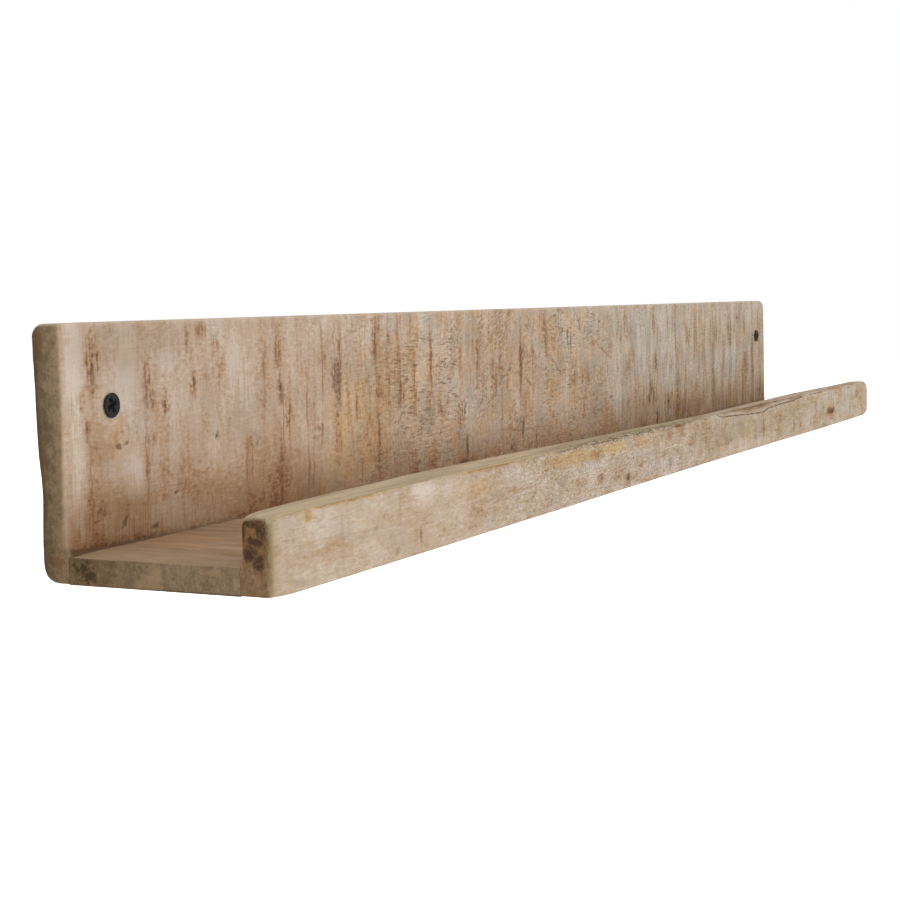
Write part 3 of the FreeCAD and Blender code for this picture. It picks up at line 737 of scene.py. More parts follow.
LIP_TINTS = [
    (-320, -47, 34, 5, (0.99, 0.92, 0.76)), (-200, -44, 55, 5, (0.96, 0.87, 0.70)),
    (-140, -43.5, 18, 5, (1.03, 1.0, 0.74)), (-90, -44, 26, 4.5, (0.98, 0.92, 0.76)),
    (-475, -41, 5, 3, (0.95, 0.84, 0.66)), (-450, -38.6, 55, 1.4, (0.90, 0.80, 0.60)),
    (-300, -38.3, 62, 1.5, (0.86, 0.76, 0.56)), (-380, -41, 16, 3.5, (1.08, 1.10, 1.12)),
    (70, -52, 70, 12, (0.90, 0.87, 0.83)), (230, -50, 60, 12, (0.92, 0.90, 0.84)),
    (-20, -42, 60, 4, (0.94, 0.88, 0.8)), (400, -55, 80, 10, (0.96, 0.98, 0.98)),
    (362, -57.5, 20, 7, (0.86, 0.68, 0.52)), (-122, -62, 8, 5, (0.84, 0.72, 0.60)),
    (-430, -56, 80, 12, (0.96, 0.93, 0.89)), (-60, -58, 50, 7, (1.02, 1.03, 1.05)),
    (-190, -42.5, 90, 5, (1.0, 0.95, 0.82)), (170, -62, 130, 7, (1.05, 1.05, 1.07)),
    (130, -50, 90, 12, (0.92, 0.91, 0.86)), (-121, -64.5, 5, 3, (0.80, 0.70, 0.62)),
    (370, -55, 100, 14, (1.02, 1.03, 1.06)),
]
lip_layers = end_and_edge_layers(ways) | stain_layers(
    grid, ways[..., 1] < 0.3, LIP_SOIL, LIP_SMOKE, LIP_TINTS, 3.0)
lip_layers |= {"above_split": above_split, "facet": facet_share, "top": np.maximum(ways[..., 2], 0)}
front_lip = grid_mesh("front_lip_sawn", grid, lip_layers)
measure(front_lip)
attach(front_lip, "root")
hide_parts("front_lip")

# %% [markdown]
# ## The screws
#
# Two black countersunk screws hold the ledge on the wall, and four bright ones hold the shelf
# board from behind. A screw is a shape turned on a lathe, apart from its thread and its recess.
# So it is made as a turned grid whose radius also rises and falls with the turn and the depth
# together, which is a helix, and whose flat top is pressed in along a cross.

# %% Screws
TURN_STEPS = 72


def helix_thread(depth, turn, start, end, pitch, core, crest):
    """The radius of a pointed, threaded shank at a depth. The thread's height goes by how far
    depth / pitch - turn is from a whole number, and core and crest shrink to a point at the end."""
    saw = np.abs((depth / pitch - turn / (2 * np.pi)) % 1.0 - 0.5) * 2
    tooth = ease(saw, 0.55, 0.98)
    point = np.clip((end - depth) / (2.0 * core), 0.02, 1.0)
    fade = ease(depth, start, start + pitch)
    return point * (core + (crest - core) * tooth * fade)


def screw_grid(head, rim, cone, neck, crest, length, pitch, recess):
    """A countersunk screw along +Y from y = 0, as a grid of depth and turn, in mm. The head is a
    short rim and a cone down to the neck. recess is (half wing width, reach, depth)."""
    top = np.linspace(0.0, head / 2 - 0.25, 26)
    shank = np.arange(rim + cone, length, pitch / 9)[1:]
    down = np.linspace(0.25, 1, 4)
    radius = np.concatenate([top, [head / 2 - 0.06, head / 2, head / 2], 0 * down, 0 * shank, [0]])
    depth = np.concatenate([0 * top, [0.02, 0.12, rim], rim + cone * down, shank, [length]])
    turn = np.linspace(0, 2 * np.pi, TURN_STEPS, endpoint=False)
    depth, turn = np.meshgrid(depth, turn, indexing="ij")
    radius = np.broadcast_to(radius[:, None], depth.shape).copy()
    in_cone = (depth > rim) & (depth <= rim + cone)
    radius[in_cone] = head / 2 - (head / 2 - neck) * (depth[in_cone] - rim) / cone
    below = depth > rim + cone
    thread = helix_thread(depth, turn, rim + cone + 1.0, length, pitch, crest * 0.66, crest)
    radius[below] = thread[below]
    radius[-1] = 0.0
    a, b = radius * np.cos(turn), radius * np.sin(turn)
    half, reach, deep = recess
    near, far = np.minimum(np.abs(a), np.abs(b)), np.maximum(np.abs(a), np.abs(b))
    cross = ease(near, half + 0.12, half - 0.12) * ease(far, reach + 0.1, reach - 0.12)
    floor = deep * (1 - 0.45 * np.clip(far / reach, 0, 1) ** 2)
    sunk = np.where(depth < 0.01, cross * floor, 0.0)
    return np.stack([a, depth + sunk, b], -1)


def make_screw(name, node, at, sizes, spin=0.0, into_wall=True):
    """Lays a screw grid with its head at the point at, turned by spin degrees on its axis, and
    lets it stand for its solid. Its tip points into the wall or, turned round, into the room."""
    points = screw_grid(**sizes)
    spin = math.radians(spin)
    a, b = points[..., 0].copy(), points[..., 2].copy()
    points[..., 0] = a * math.cos(spin) - b * math.sin(spin)
    points[..., 2] = a * math.sin(spin) + b * math.cos(spin)
    if not into_wall:
        points[..., 1] *= -1
        points = points[:, ::-1]
    piece = grid_mesh(name, points + np.array(at))
    measure(piece)
    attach(piece, "root")
    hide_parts(node)
    return piece


WALL_SCREW = dict(head=9.9, rim=0.4, cone=3.2, neck=1.8, crest=2.5, length=35.0, pitch=2.2,
                  recess=(0.85, 3.1, 2.4))
SHELF_SCREW = dict(head=6.9, rim=0.3, cone=2.25, neck=1.25, crest=1.75, length=40.0, pitch=1.8,
                   recess=(0.4, 1.9, 1.5))
SCREW_SPINS = {"left": 24, "right": 61}
wall_screws = []
for side, (x, z) in SCREW_PLACES.items():
    node = f"wall_screw_{side}"
    wall_screws.append(make_screw(node + "_threaded", node,
                                  (x, BACK_FACE - 0.7, z), WALL_SCREW, spin=SCREW_SPINS[side]))
shelf_screws = []
for number, x in enumerate(SHELF_SCREW_X, 1):
    node = f"shelf_screw_{number}"
    shelf_screws.append(make_screw(node + "_threaded", node,
                                   (x, BACK_REAR - 0.65, FIXING_HEIGHT), SHELF_SCREW,
                                   into_wall=False))

# %% [markdown]
# ## Maths as nodes
#
# A finish is a picture worked out from numbers: the place on the piece goes in, a colour comes
# out. Written as nodes that takes hundreds of boxes and wires. So a small class wraps a wire, and
# Python's own + - * / on it add the boxes. Everything else goes through one method, node().

# %% Wires and finishes
WHITE = (1.0, 1.0, 1.0, 1.0)


class Wire:
    """The output of a node. Sums with it add Math nodes; other nodes take it as an input."""

    def __init__(self, finish, socket):
        self.finish, self.socket = finish, socket

    def sum(self, operation, *parts):
        return self.finish.node("ShaderNodeMath", {"operation": operation}, dict(enumerate(parts)))

    def __add__(self, other):
        return self.sum("ADD", self, other)

    def __sub__(self, other):
        return self.sum("SUBTRACT", self, other)

    def __rsub__(self, other):
        return self.sum("SUBTRACT", other, self)

    def __mul__(self, other):
        return self.sum("MULTIPLY", self, other)

    def __truediv__(self, other):
        return self.sum("DIVIDE", self, other)

    def __rtruediv__(self, other):
        return self.sum("DIVIDE", other, self)

    __radd__ = __add__
    __rmul__ = __mul__


def paint(red, green, blue):
    """A colour as it looks on a screen, 0 to 255, turned into the amount of light it reflects."""
    share = np.array([red, green, blue]) / 255
    return (*np.where(share < 0.04045, share / 12.92, ((share + 0.055) / 1.055) ** 2.4), 1.0)


class Finish:
    """A material that is being made, and the few kinds of node that it is made of."""

    def __init__(self, name):
        self.material = bpy.data.materials.new(name)
        self.material.use_nodes = True
        self.tree = self.material.node_tree
        self.tree.nodes.clear()
        self.place = self.node("ShaderNodeTexCoord", out="Object")

    def node(self, sort, settings=None, sockets=None, out=0):
        """Adds a node of that sort: its settings first, then a value or a link for each socket."""
        made = self.tree.nodes.new(sort)
        for key, value in (settings or {}).items():
            setattr(made, key, value)
        for key, value in (sockets or {}).items():
            if isinstance(value, Wire):
                self.tree.links.new(value.socket, made.inputs[key])
            else:
                made.inputs[key].default_value = value
        return Wire(self, made.outputs[out])

    def layer(self, name, out="Fac"):
        """The values or colours that a piece keeps on its vertices under that name."""
        return self.node("ShaderNodeAttribute", {"attribute_name": name}, out=out)

    def coordinate(self, axis):
        """One coordinate of the place, in mm."""
        return self.node("ShaderNodeSeparateXYZ", None, {0: self.place}, axis) * MM

    def spread(self, size, seed=0.0, place=None):
        """The place divided by size, in mm along x, y and z, and moved by a seed."""
        scale = tuple(MM / part for part in size)
        return self.node("ShaderNodeVectorMath", {"operation": "MULTIPLY_ADD"},
                         {0: place or self.place, 1: scale, 2: (seed, seed * 1.7, seed * 0.6)})

    def grain(self, size, seed=0.0, detail=2.0, rough=0.5, bend=0.0, place=None):
        """Soft noise from 0 to 1, mostly near 0.5, whose lumps are size mm long."""
        return self.node("ShaderNodeTexNoise", None, {
            "Vector": self.spread(size, seed, place), "Scale": 1.0, "Detail": detail,
            "Roughness": rough, "Distortion": bend}, "Fac")

    def bent(self, size, by, seed=0.0):
        """The place, moved by soft noise by up to about by mm, so that what is drawn there wavers."""
        noise = self.node("ShaderNodeTexNoise", None, {
            "Vector": self.spread(size, seed), "Scale": 1.0, "Detail": 2.0}, "Color")
        shift = self.node("ShaderNodeVectorMath", {"operation": "MULTIPLY_ADD"}, {
            0: noise, 1: (4 * by / MM,) * 3, 2: (-2 * by / MM,) * 3})
        return self.node("ShaderNodeVectorMath", {"operation": "ADD"}, {0: self.place, 1: shift})

    def nearest(self, marks, place, at_end=False):
        """How far a place is from the nearest mark, in half sizes: 0 in its middle, 1 on its
        edge. A mark is x, z, half length, half height and, where it isn't level, the angle at
        which it rises; on an end of the ledge y stands for x."""
        nearest = None
        far = 1e3
        for across, z, long, high, *rise in marks:
            turn = -math.radians(rise[0]) if rise else 0.0
            spot = (0, across / MM, z / MM) if at_end else (across / MM, 0, z / MM)
            size = (far, long / MM, high / MM) if at_end else (long / MM, far, high / MM)
            away = self.node("ShaderNodeMapping", {"vector_type": "TEXTURE"}, {
                "Vector": place, "Location": spot, "Scale": size,
                "Rotation": (-turn, 0, 0) if at_end else (0, turn, 0)})
            away = self.node("ShaderNodeVectorMath", {"operation": "LENGTH"}, {0: away}, "Value")
            nearest = away if nearest is None else nearest.sum("MINIMUM", nearest, away)
        return nearest

    def ramp(self, value, stops):
        """A colour that goes smoothly through stops of (value, colour)."""
        tone = stops[0][1]
        for (low, _), (high, colour) in zip(stops, stops[1:]):
            tone = self.mix(self.ease(value, low, high), tone, colour)
        return tone

    def spots(self, low, high, *grain, **more):
        """Soft spots from grain: 0 where it is below low and 1 where it is above high."""
        return self.ease(self.grain(*grain, **more), low, high)

    def ease(self, value, low, high, start=0.0, end=1.0):
        """start below low, end above high, and a smooth S between them."""
        return self.node("ShaderNodeMapRange", {"interpolation_type": "SMOOTHSTEP"}, {
            "Value": value, "From Min": low, "From Max": high, "To Min": start, "To Max": end})

    def mix(self, share, a, b, how="MIX"):
        """Colour a, and colour b over it by a share, in the way that how says. A colour is a wire,
        or red, green and blue as they look on a screen."""
        a, b = (part if isinstance(part, Wire) else paint(*part) for part in (a, b))
        return self.node("ShaderNodeMix", {"data_type": "RGBA", "blend_type": how},
                         {0: share, 6: a, 7: b}, 2)

    def wash(self, share, colour, by):
        """A colour multiplied by another one, by a share."""
        return self.mix(share, colour, by, "MULTIPLY")

    def shade(self, colour, value):
        """A colour made lighter or darker by a value near 1."""
        grey = self.node("ShaderNodeCombineColor", None, {0: value, 1: value, 2: value})
        return self.wash(1.0, colour, grey)

    def done(self, colour, roughness, height, strength, constants):
        """Joins everything to the shader. height, in mm, feeds a bump of that strength."""
        sockets = {"Base Color": colour, "Roughness": roughness, **constants}
        sockets["Normal"] = self.node("ShaderNodeBump", None, {
            "Height": height * (1 / MM), "Distance": 1.0, "Strength": strength})
        shader = self.node("ShaderNodeBsdfPrincipled", None, sockets)
        output = self.tree.nodes.new("ShaderNodeOutputMaterial")
        self.tree.links.new(shader.socket, output.inputs["Surface"])
        print(self.material.name, "has", len(self.tree.nodes), "nodes")
        return self.material


def give(material, *pieces):
    """Puts a material on pieces as their only one."""
    for piece in pieces:
        piece.data.materials.clear()
        piece.data.materials.append(material)


# %% [markdown]
# ## The sawn ends
#
# All three boards are dark and olive where the sawn end shows the cut fibres, which drink dirt.
# The tone is mottled and darker specks lie over it. It's the same recipe for each board, with
# other colours, so it is one function that returns a colour. So is what all the wood shares: fine
# fibres, and a surface that is dull all over.

# %% Sawn end recipe
def sawn_end(finish, light, dark, stain, seed, share=None):
    """Mottled end grain between light and dark, with specks of stain. share moves the balance: it
    is 0 where the end is lightest and 1 where it is darkest."""
    blotch = finish.grain((9, 4.5, 5), seed, 4, 0.65)
    if share is not None:
        blotch = blotch + (share - 0.5) * 0.3
    tone = finish.mix(finish.ease(blotch, 0.25, 0.75), light, dark)
    speck = finish.spots(0.48, 0.72, (2.6, 1.3, 1.4), seed + 3, 4, 0.65)
    tone = finish.mix(speck * 0.4, tone, stain)
    return finish.shade(tone, 0.70 + 0.60 * finish.grain((1.1, 0.6, 0.6), seed + 5, 2, 0.6))


def fibres(finish, size, seed, contrast, bend=0.4):
    """Fine broken fibres along the board, as a value near 1 to multiply by."""
    return 1.0 + (finish.grain(size, seed, 3, 0.65, bend) - 0.5) * contrast


def dress(board, finish, tone, mottle, relief):
    """Gives a board its wood: dull, a little less where the mottle is high, with relief in mm."""
    roughness = 0.84 - 0.1 * mottle
    give(finish.done(tone, roughness, relief, 0.6, {"Specular IOR Level": 0.12}), board)


# %% [markdown]
# ## Back board wood
#
# The face is pinkish beige, and orange-brown where dirt sits in the saw's strokes, which run
# across the board, some in clusters. Over that come, from the bottom up: greyer areas, thin lines
# and smudges, hairlines, fibres, warmer and cooler patches, fibres torn in short waves from the
# first third on, the broad waves of the right end, dirt and painted shade low down near the shelf,
# small dark marks, and rounded edges made lighter, partly as rubbed wear and partly as a painted
# highlight. Each is one layer or two, in that order.
# Last comes the sawn end, darker and olive.

# %% Back board finish
PANEL_WIDTH = 11.6     # mm between two strokes of the saw
WAVE_WIDTH = 23.4      # mm between two of the broad waves
WAVE_START = 387.0     # where one of them begins
TORN_RISE = 24         # degrees at which the torn fibres rise left of the middle
# Small marks, stains of the end and thin lines: x (y on the end), z, half length, half height
# and, where they aren't level, the angle at which they rise.
BACK_MARKS = [
    (-465.5, -17.5, 1.6, 1.4), (-461, -17, 2.0, 0.9, 20), (-395.5, -19, 1.4, 1.1),
    (-426, -41, 1.6, 0.6), (-441, -53, 3, 1.4, 15), (-463, -49, 1.6, 2.4, -30),
    (-136, -47, 1.8, 8), (-140, -54, 6, 2.0), (-74, -5.5, 1.9, 1.7), (-72, -52, 2.4, 3.2),
    (-54, -38, 1.6, 5), (-55, -43, 2.4, 2), (-33, -47, 1.1, 9), (12, 16, 1.5, 1.2),
    (20, 14, 1.2, 5), (26, 9, 1.3, 6), (78, 22, 1.5, 1.0), (101, -31, 4.0, 1.2),
    (185, -29, 2.0, 6, -8), (182, -38, 1.8, 6, 4), (462, 2, 5, 1.2, -5),
]
BACK_END_STAINS = [(-7.5, -60, 3.5, 4.5, 20), (-3, 24, 3, 5), (-1, -25, 2.4, 9)]
BACK_THIN = [
    (-370, -33, 0.7, 14), (-366, -33, 0.6, 14), (-354, 10, 0.5, 14), (-338, -16, 0.6, 24),
    (-333, -18, 0.5, 14), (-315.5, -42, 1.0, 16), (-316, -12, 0.7, 14), (-311, -44, 0.8, 14),
    (-302, 24, 0.6, 7), (-300, 2, 0.8, 14), (-283, 10, 0.7, 20), (-289, 20, 0.5, 12),
    (-243, -35, 1.0, 22), (-245, 15, 0.8, 14), (-267, -14, 0.9, 10), (-262, -47, 0.9, 8),
    (-182, 8, 1.1, 17), (-202, -8, 0.7, 18), (-219, -5, 0.6, 22), (-95, -12, 0.9, 10),
    (-99, -15, 0.7, 14), (-121, -2, 0.9, 14), (-57, 0, 1.0, 28), (-86, -32, 0.7, 16),
    (0, -5, 22, 0.7, -34), (-45, -14, 12, 0.7, -36), (40, 22, 12, 0.8, -50), (80, 4, 30, 0.7, -24),
    (-60, -41, 50, 0.5, -2), (-484, -35, 0.5, 22), (-447, -30, 0.5, 26),
]


wood = Finish("back_board_wood")
x, y, z = (wood.coordinate(axis) for axis in "XYZ")
facing = wood.ease(y, -9.0, -11.3)
waver = wood.bent((7, 7, 7), 1.4)

# The saw left upright panels, each a little lighter or darker.
across = x / PANEL_WIDTH + 0.4 * wood.grain((50, 60, 160), 9.0)
panel = wood.node("ShaderNodeMath", {"operation": "FLOOR"}, {0: across})
chance = wood.node("ShaderNodeTexWhiteNoise", {"noise_dimensions": "1D"}, {"W": panel}, "Value")
seen = wood.spots(0.40, 0.60, (30, 60, 34), 10.0)

# How dirty the wood is, with painted shade low down added in: 0 where it's clean, 1 where it's
# dark brown. further and right are 0 at the left and 1 from the first third on, or right of the
# middle.
area = wood.grain((60, 40, 38), 1.0, 3, 0.55)
bands = wood.grain((8, 60, 28), 2.0, 3, 0.6)
columns = wood.spots(0.50, 0.70, (1.8, 60, 20), 15.0, 3, 0.6)
ragged = wood.grain((2.8, 10, 2.4), 13.0, 5, 0.68) - 0.5
lengthwise = wood.grain((5.0, 10, 1.1), 19.0, 4, 0.62, 0.5)
upright = wood.grain((1.2, 60, 16), 17.0, 3, 0.6)
flecked = wood.ease(0.5 * ragged + 0.5 * upright, 0.17, 0.33, 0.35, 1.6)
further, right = wood.ease(x, -400.0, -180.0), wood.ease(x, 40.0, 180.0)
rough_area = wood.spots(0.42, 0.60, (26, 60, 30), 12.0) + 0.4 * further - 0.2 * right
dirt = 0.9 * area + 0.8 * bands + (0.10 + 0.12 * further + 0.14 * right) * columns - 0.58
dirt = dirt + (0.5 + 0.6 * rough_area) * ragged + 0.5 * (lengthwise - 0.5)
dirt = dirt + (0.44 - 0.16 * further + 0.10 * right) * wood.layer("soil") * flecked
dirt = dirt + (0.32 - 0.12 * further) * wood.layer("edges") + 0.13 * (chance - 0.5) * seen
# Darker low down towards the shelf: partly dirt and partly painted shade of the recess between the
# back board and the lip.
low_dirt_and_shade = wood.ease(z + 30.0 * (bands - 0.5) + 3.0 * columns, -22.0, -62.0) * facing
dirt = dirt + 0.28 * low_dirt_and_shade
tone = wood.ramp(dirt, [(0.05, (213, 195, 178)), (0.32, (199, 174, 151)),
                        (0.52, (184, 152, 122)), (0.76, (154, 114, 85)),
                        (1.02, (114, 80, 60))])
grey = wood.spots(0.50, 0.62, (34, 30, 26), 5.0, 3, 0.6)
tone = wood.mix(grey * wood.ease(x, -330.0, -150.0, 0.2, 0.5), tone, (186, 172, 158))
thin = wood.ease(wood.nearest(BACK_THIN, waver) + 2.6 * ragged, 1.2, 0.2) * facing
tone = wood.mix(thin * 0.55, tone, (138, 90, 62))
smoke = wood.ease(wood.layer("smoke") * flecked + 1.4 * ragged, 0.08, 1.0)
tone = wood.mix(smoke * 0.7, tone, (112, 86, 72))

# Hairlines up the board, with darker and lighter lines among them at the right, and fibres.
hair = wood.spots(0.60, 0.74, (1.0, 60, 24), 25.0, 2, 0.5)
tone = wood.mix(hair * (0.08 + 0.34 * further), tone, (150, 104, 74))
lines = wood.spots(0.57, 0.70, (2.4, 60, 34), 27.0, 2, 0.5)
tone = wood.mix(lines * right * 0.4, tone, (148, 112, 84))
light_lines = wood.spots(0.54, 0.70, (3.4, 60, 40), 28.0, 2, 0.5)
tone = wood.mix(light_lines * right * 0.60, tone, (216, 200, 182))
tone = wood.shade(tone, 1.0 + (upright - 0.45) * (0.08 + 0.20 * further))
tone = wood.shade(tone, fibres(wood, (4.6, 10, 1.0), 21.0, 0.24 + 0.33 * further))
mottle = wood.grain((1.1, 1.1, 1.1), 23.0, 3, 0.65)
tone = wood.shade(tone, 0.91 + 0.20 * mottle)

# Warmer and cooler patches. The right half is a little less yellow as a whole.
tone = wood.wash(wood.ease(x, -80.0, 160.0), tone, (244, 251, 255))
warm = wood.spots(0.46, 0.62, (16, 60, 24), 35.0, 3, 0.6)
tone = wood.wash(warm * further * (1.0 - 0.7 * right), tone, (255, 245, 230))
cool = wood.spots(0.48, 0.64, (20, 60, 20), 36.0, 3, 0.6)
tone = wood.wash(cool * further * (1.0 - 0.5 * right), tone, (238, 248, 255))
tone = wood.wash(further, tone, (252, 254, 255))
tone = wood.shade(tone, 1.0 + 0.05 * further)

# Torn fibres: short wavy lines, dark and light, where the saw ran against the grain.
torn_area = wood.ease(x, -330.0, -190.0) * wood.spots(0.38, 0.54, (38, 40, 22), 29.0)
torn_area = torn_area * (1.0 - 0.8 * wood.ease(x, 20.0, 140.0))
rising = wood.node("ShaderNodeMapping", None, {
    "Vector": wood.place, "Rotation": (0, math.radians(TORN_RISE), 0)})
rising_area = wood.ease(x, -160.0, -120.0) * wood.ease(x, 0.0, -50.0)
torn = wood.grain((5.6, 10, 1.0), 31.0, 4, 0.6, 0.7)
torn = torn + (wood.grain((5.0, 10, 0.9), 33.0, 4, 0.6, 0.8, rising) - torn) * rising_area
tone = wood.mix(wood.ease(torn, 0.47, 0.36) * torn_area * 0.75, tone, (124, 92, 68))
tone = wood.mix(wood.ease(torn, 0.54, 0.66) * torn_area * 0.55, tone, (224, 206, 184))

# Broader waves at the right end: the low parts are greyer and darker.
waves = (x - WAVE_START) / WAVE_WIDTH + 1.6 * (wood.grain((60, 60, 60), 37.0) - 0.5) + 50.0
waves = wood.node("ShaderNodeMath", {"operation": "FRACT"}, {0: waves})
hollow = wood.ease(waves, 0.42, 0.08) + wood.ease(waves, 0.72, 1.0)
broad = wood.ease(x, 280.0, 350.0) * wood.ease(z, 26.0, -20.0, 0.15, 1.0)
tone = wood.wash(broad * hollow * 0.5, tone, (206, 196, 184))

# Dirt and painted shade low down, dirt in the joint with the shelf board, the tints, the marks,
# and the rounded edges made lighter as rubbed wear and as a painted highlight.
tone = wood.wash(low_dirt_and_shade * wood.ease(x, -330.0, -100.0, 0.75, 0.5), tone, (202, 184, 160))
joint = wood.ease(z + 12.0 * (wood.grain((2.8, 9, 2.8), 42.0, 4, 0.7) - 0.5), -54.4, -57.4)
tone = wood.mix(joint * facing * wood.ease(x, -410.0, -460.0, 0.2, 0.75), tone, (92, 68, 46))
tone = wood.wash(1.0, tone, wood.layer("coat", "Vector"))
marks = wood.ease(wood.nearest(BACK_MARKS, waver) + 3.0 * ragged, 1.25, 0.4) * facing
tone = wood.mix(marks * 0.65, tone, (88, 60, 42))
# Rounded edges lighter: partly rubbed wear and partly a painted highlight.
tone = wood.mix(wood.layer("rub_and_highlight") * 0.5, tone, (200, 180, 152))

# The end is darker at the rear, with stains, and reaches a little round the edge to the face.
end = sawn_end(wood, (156, 134, 104), (112, 93, 67), (78, 61, 43), 43.0,
               wood.ease(y, -11.0, -1.0))
end = wood.mix(wood.ease(y + 3.0 * ragged, -3.5, 0.0) * 0.5, end, (66, 50, 36))
stain = wood.ease(wood.nearest(BACK_END_STAINS, wood.place, True) + 2.0 * ragged, 1.3, 0.2)
end = wood.mix(stain * 0.6, end, (120, 84, 52))
end = wood.wash(wood.ease(z, 10.0, -40.0), end, (244, 240, 238))
ended = wood.layer("end") + wood.ease(z, -50.0, 5.0) * 0.42 + 0.25 * ragged
ended = ended + 0.7 * wood.ease(z, -53.0, -58.0)
tone = wood.mix(wood.ease(ended, 0.42, 1.0), tone, end)
relief = 0.16 * mottle + 0.3 * torn * torn_area - 0.15 * dirt - 0.3 * marks + 0.1 * upright
dress(back_board, wood, tone, mottle, relief)

# %% [markdown]
# ## Shelf board wood
#
# The upper face is warm brown. Its streaks, broad and narrow ones, run from back to front, with
# the saw, and sway a little. Towards the end it goes greyer. Dirt lies in the corner along the
# back board. The sawn end has dark stains near the back board, tan ones further out, and a dark
# line along its lower edge.

# %% Shelf board finish
SHELF_END_STAINS = [(-18, -61, 5.0, 3.8), (-21, -64.5, 5, 2.6)]
SHELF_END_TAN = [(-51, -63, 4, 4.5, 35), (-48, -66.5, 8, 1.6), (-77, -60, 5, 1.8)]
wood = Finish("shelf_board_wood")
x, y, z = (wood.coordinate(axis) for axis in "XYZ")
swayed = wood.bent((80, 40, 80), 5.0)
tone = wood.mix(wood.spots(0.38, 0.64, (26, 70, 14), 51.0, 3, 0.55, place=swayed),
                (184, 149, 116), (171, 143, 114))
streak = wood.spots(0.44, 0.66, (8, 55, 8), 53.0, 3, 0.55, place=swayed)
tone = wood.mix(streak * 0.42, tone, (150, 113, 84))
pale = wood.spots(0.52, 0.68, (10, 45, 9), 57.0, 3, 0.5, place=swayed)
tone = wood.mix(pale * 0.4, tone, (188, 165, 139))
narrow = wood.grain((4.4, 60, 8), 64.0, 3, 0.6, place=swayed)
tone = wood.shade(tone, 0.98 + (narrow - 0.5) * 0.85)
near_end = wood.ease(x + 14.0 * (wood.grain((20, 26, 20), 58.0) - 0.5), -458.0, -490.0)
tone = wood.mix(near_end * 0.5, tone, (166, 146, 120))
mottle = wood.grain((1.6, 1.6, 1.4), 61.0, 3, 0.65)
tone = wood.shade(tone, fibres(wood, (1.2, 7, 2), 59.0, 0.3))
tone = wood.shade(tone, 0.85 + 0.22 * mottle)
dirt = wood.ease(y + 8.0 * (wood.grain((4, 4, 4), 63.0, 4, 0.65) - 0.5), -14.8, -11.8)
tone = wood.mix(dirt * wood.ease(x, -400.0, -460.0, 0.3, 0.85), tone, (84, 64, 46))
# Rounded edges lighter: partly rubbed wear and partly a painted highlight.
tone = wood.mix(wood.layer("rub_and_highlight") * 0.35, tone, (188, 168, 138))
end = sawn_end(wood, (161, 138, 109), (124, 104, 79), (79, 60, 43), 65.0)
end = wood.wash(wood.ease(y, -60.0, -18.0), end, (226, 215, 204))
rough = wood.grain((2.0, 1.5, 1.5), 66.0, 4, 0.65) - 0.5
tan = wood.ease(wood.nearest(SHELF_END_TAN, wood.place, True) + 1.6 * rough, 1.2, 0.3)
end = wood.mix(tan * 0.5, end, (172, 138, 104))
lower_edge = wood.ease(z + 1.6 * rough, -67.0, -68.1) * wood.ease(y, -40.0, -64.0, 0.3, 0.7)
end = wood.mix(lower_edge, end, (84, 58, 42))
stain = wood.ease(wood.nearest(SHELF_END_STAINS, wood.place, True) + 3.4 * rough, 1.3, 0.4)
fleck = wood.ease(wood.grain((3, 2.8, 2.2), 69.0, 3, 0.6), 0.38, 0.58, 0.4, 1.0)
end = wood.mix(stain * fleck * 0.85, end, (64, 46, 32))
ended = wood.layer("end") + 0.3 * (wood.grain((9, 16, 9), 67.0) - 0.5) + 0.8 * rough
tone = wood.mix(wood.ease(ended, 0.15, 0.8), tone, end)
relief = 0.12 * mottle - 0.1 * streak
dress(shelf_board, wood, tone, mottle, relief)

# %% [markdown]
# ## Front lip wood
#
# The face is the palest surface: pinkish, mottled, with yellow patches along its upper edge near
# the middle, short upright dashes there and upright stripes in the right half. The top is a
# greenish beige and its grain runs lengthwise; in the right half it's browner, as the facet is.
# The rough edge is yellow-brown at the left and dark further on, and the open split is painted
# dark brown as the shade inside it.
# The end has dark stains and a pale rim, partly rubbed wear and partly a painted highlight on its
# rounded edges.

# %% Front lip finish
# Marks, thin lines and stains as for the back board; the rough line along the top front edge in
# stretches, and the stretch where it is broken up.
LIP_MARKS = [
    (-122, -61.3, 3.6, 2.2), (-393, -37.8, 1.4, 0.8), (365, -56.8, 10, 2.9), (270, -39.2, 6, 0.8),
]
LIP_THIN = [
    (-450, -51.6, 50, 0.6, -1), (27, -56, 26, 0.9, -21), (-280, -52, 26, 0.6, -1),
    (-449, -52, 1.2, 14), (-400, -48, 1.0, 9), (-485, -64, 17, 0.9, -12), (158, -52, 1.0, 9),
    (313, -50, 1.4, 8), (345, -57, 10, 0.6), (-300, -55, 14, 0.5, 2), (290, -43, 16, 0.6, 1),
    (5, -38.6, 50, 0.7, -2),
]
LIP_EDGE = [
    (-448, -38.0, 56, 0.6), (-310, -38.0, 56, 0.7), (-140, -38.3, 125, 0.9), (190, -38.8, 44, 0.6),
    (330, -39.4, 40, 0.6),
]
LIP_BROKEN_EDGE = [(-100, -38.6, 150, 2.4)]
LIP_END_SPECK = [(-101, -39.6, 1.6, 1.5)]
LIP_END_STAINS = [
    (-93.5, -40.6, 5.0, 2.0, 3), (-97.4, -43.6, 2.3, 3.6, -12), (-90.0, -44.4, 1.3, 4.4),
    (-94.5, -47.6, 3.8, 1.5, 12), (-93.2, -52.0, 3.4, 2.8, -20), (-96.4, -55.0, 2.2, 3.4, 15),
]
wood = Finish("front_lip_wood")
x, y, z = (wood.coordinate(axis) for axis in "XYZ")
facing = wood.ease(y, -98.0, -102.0)
waver = wood.bent((9, 7, 7), 1.1)
right = wood.ease(x, -70.0, 60.0)
area = wood.grain((44, 30, 16), 71.0, 3, 0.6)
patches = wood.grain((16, 20, 6), 73.0, 3, 0.6)
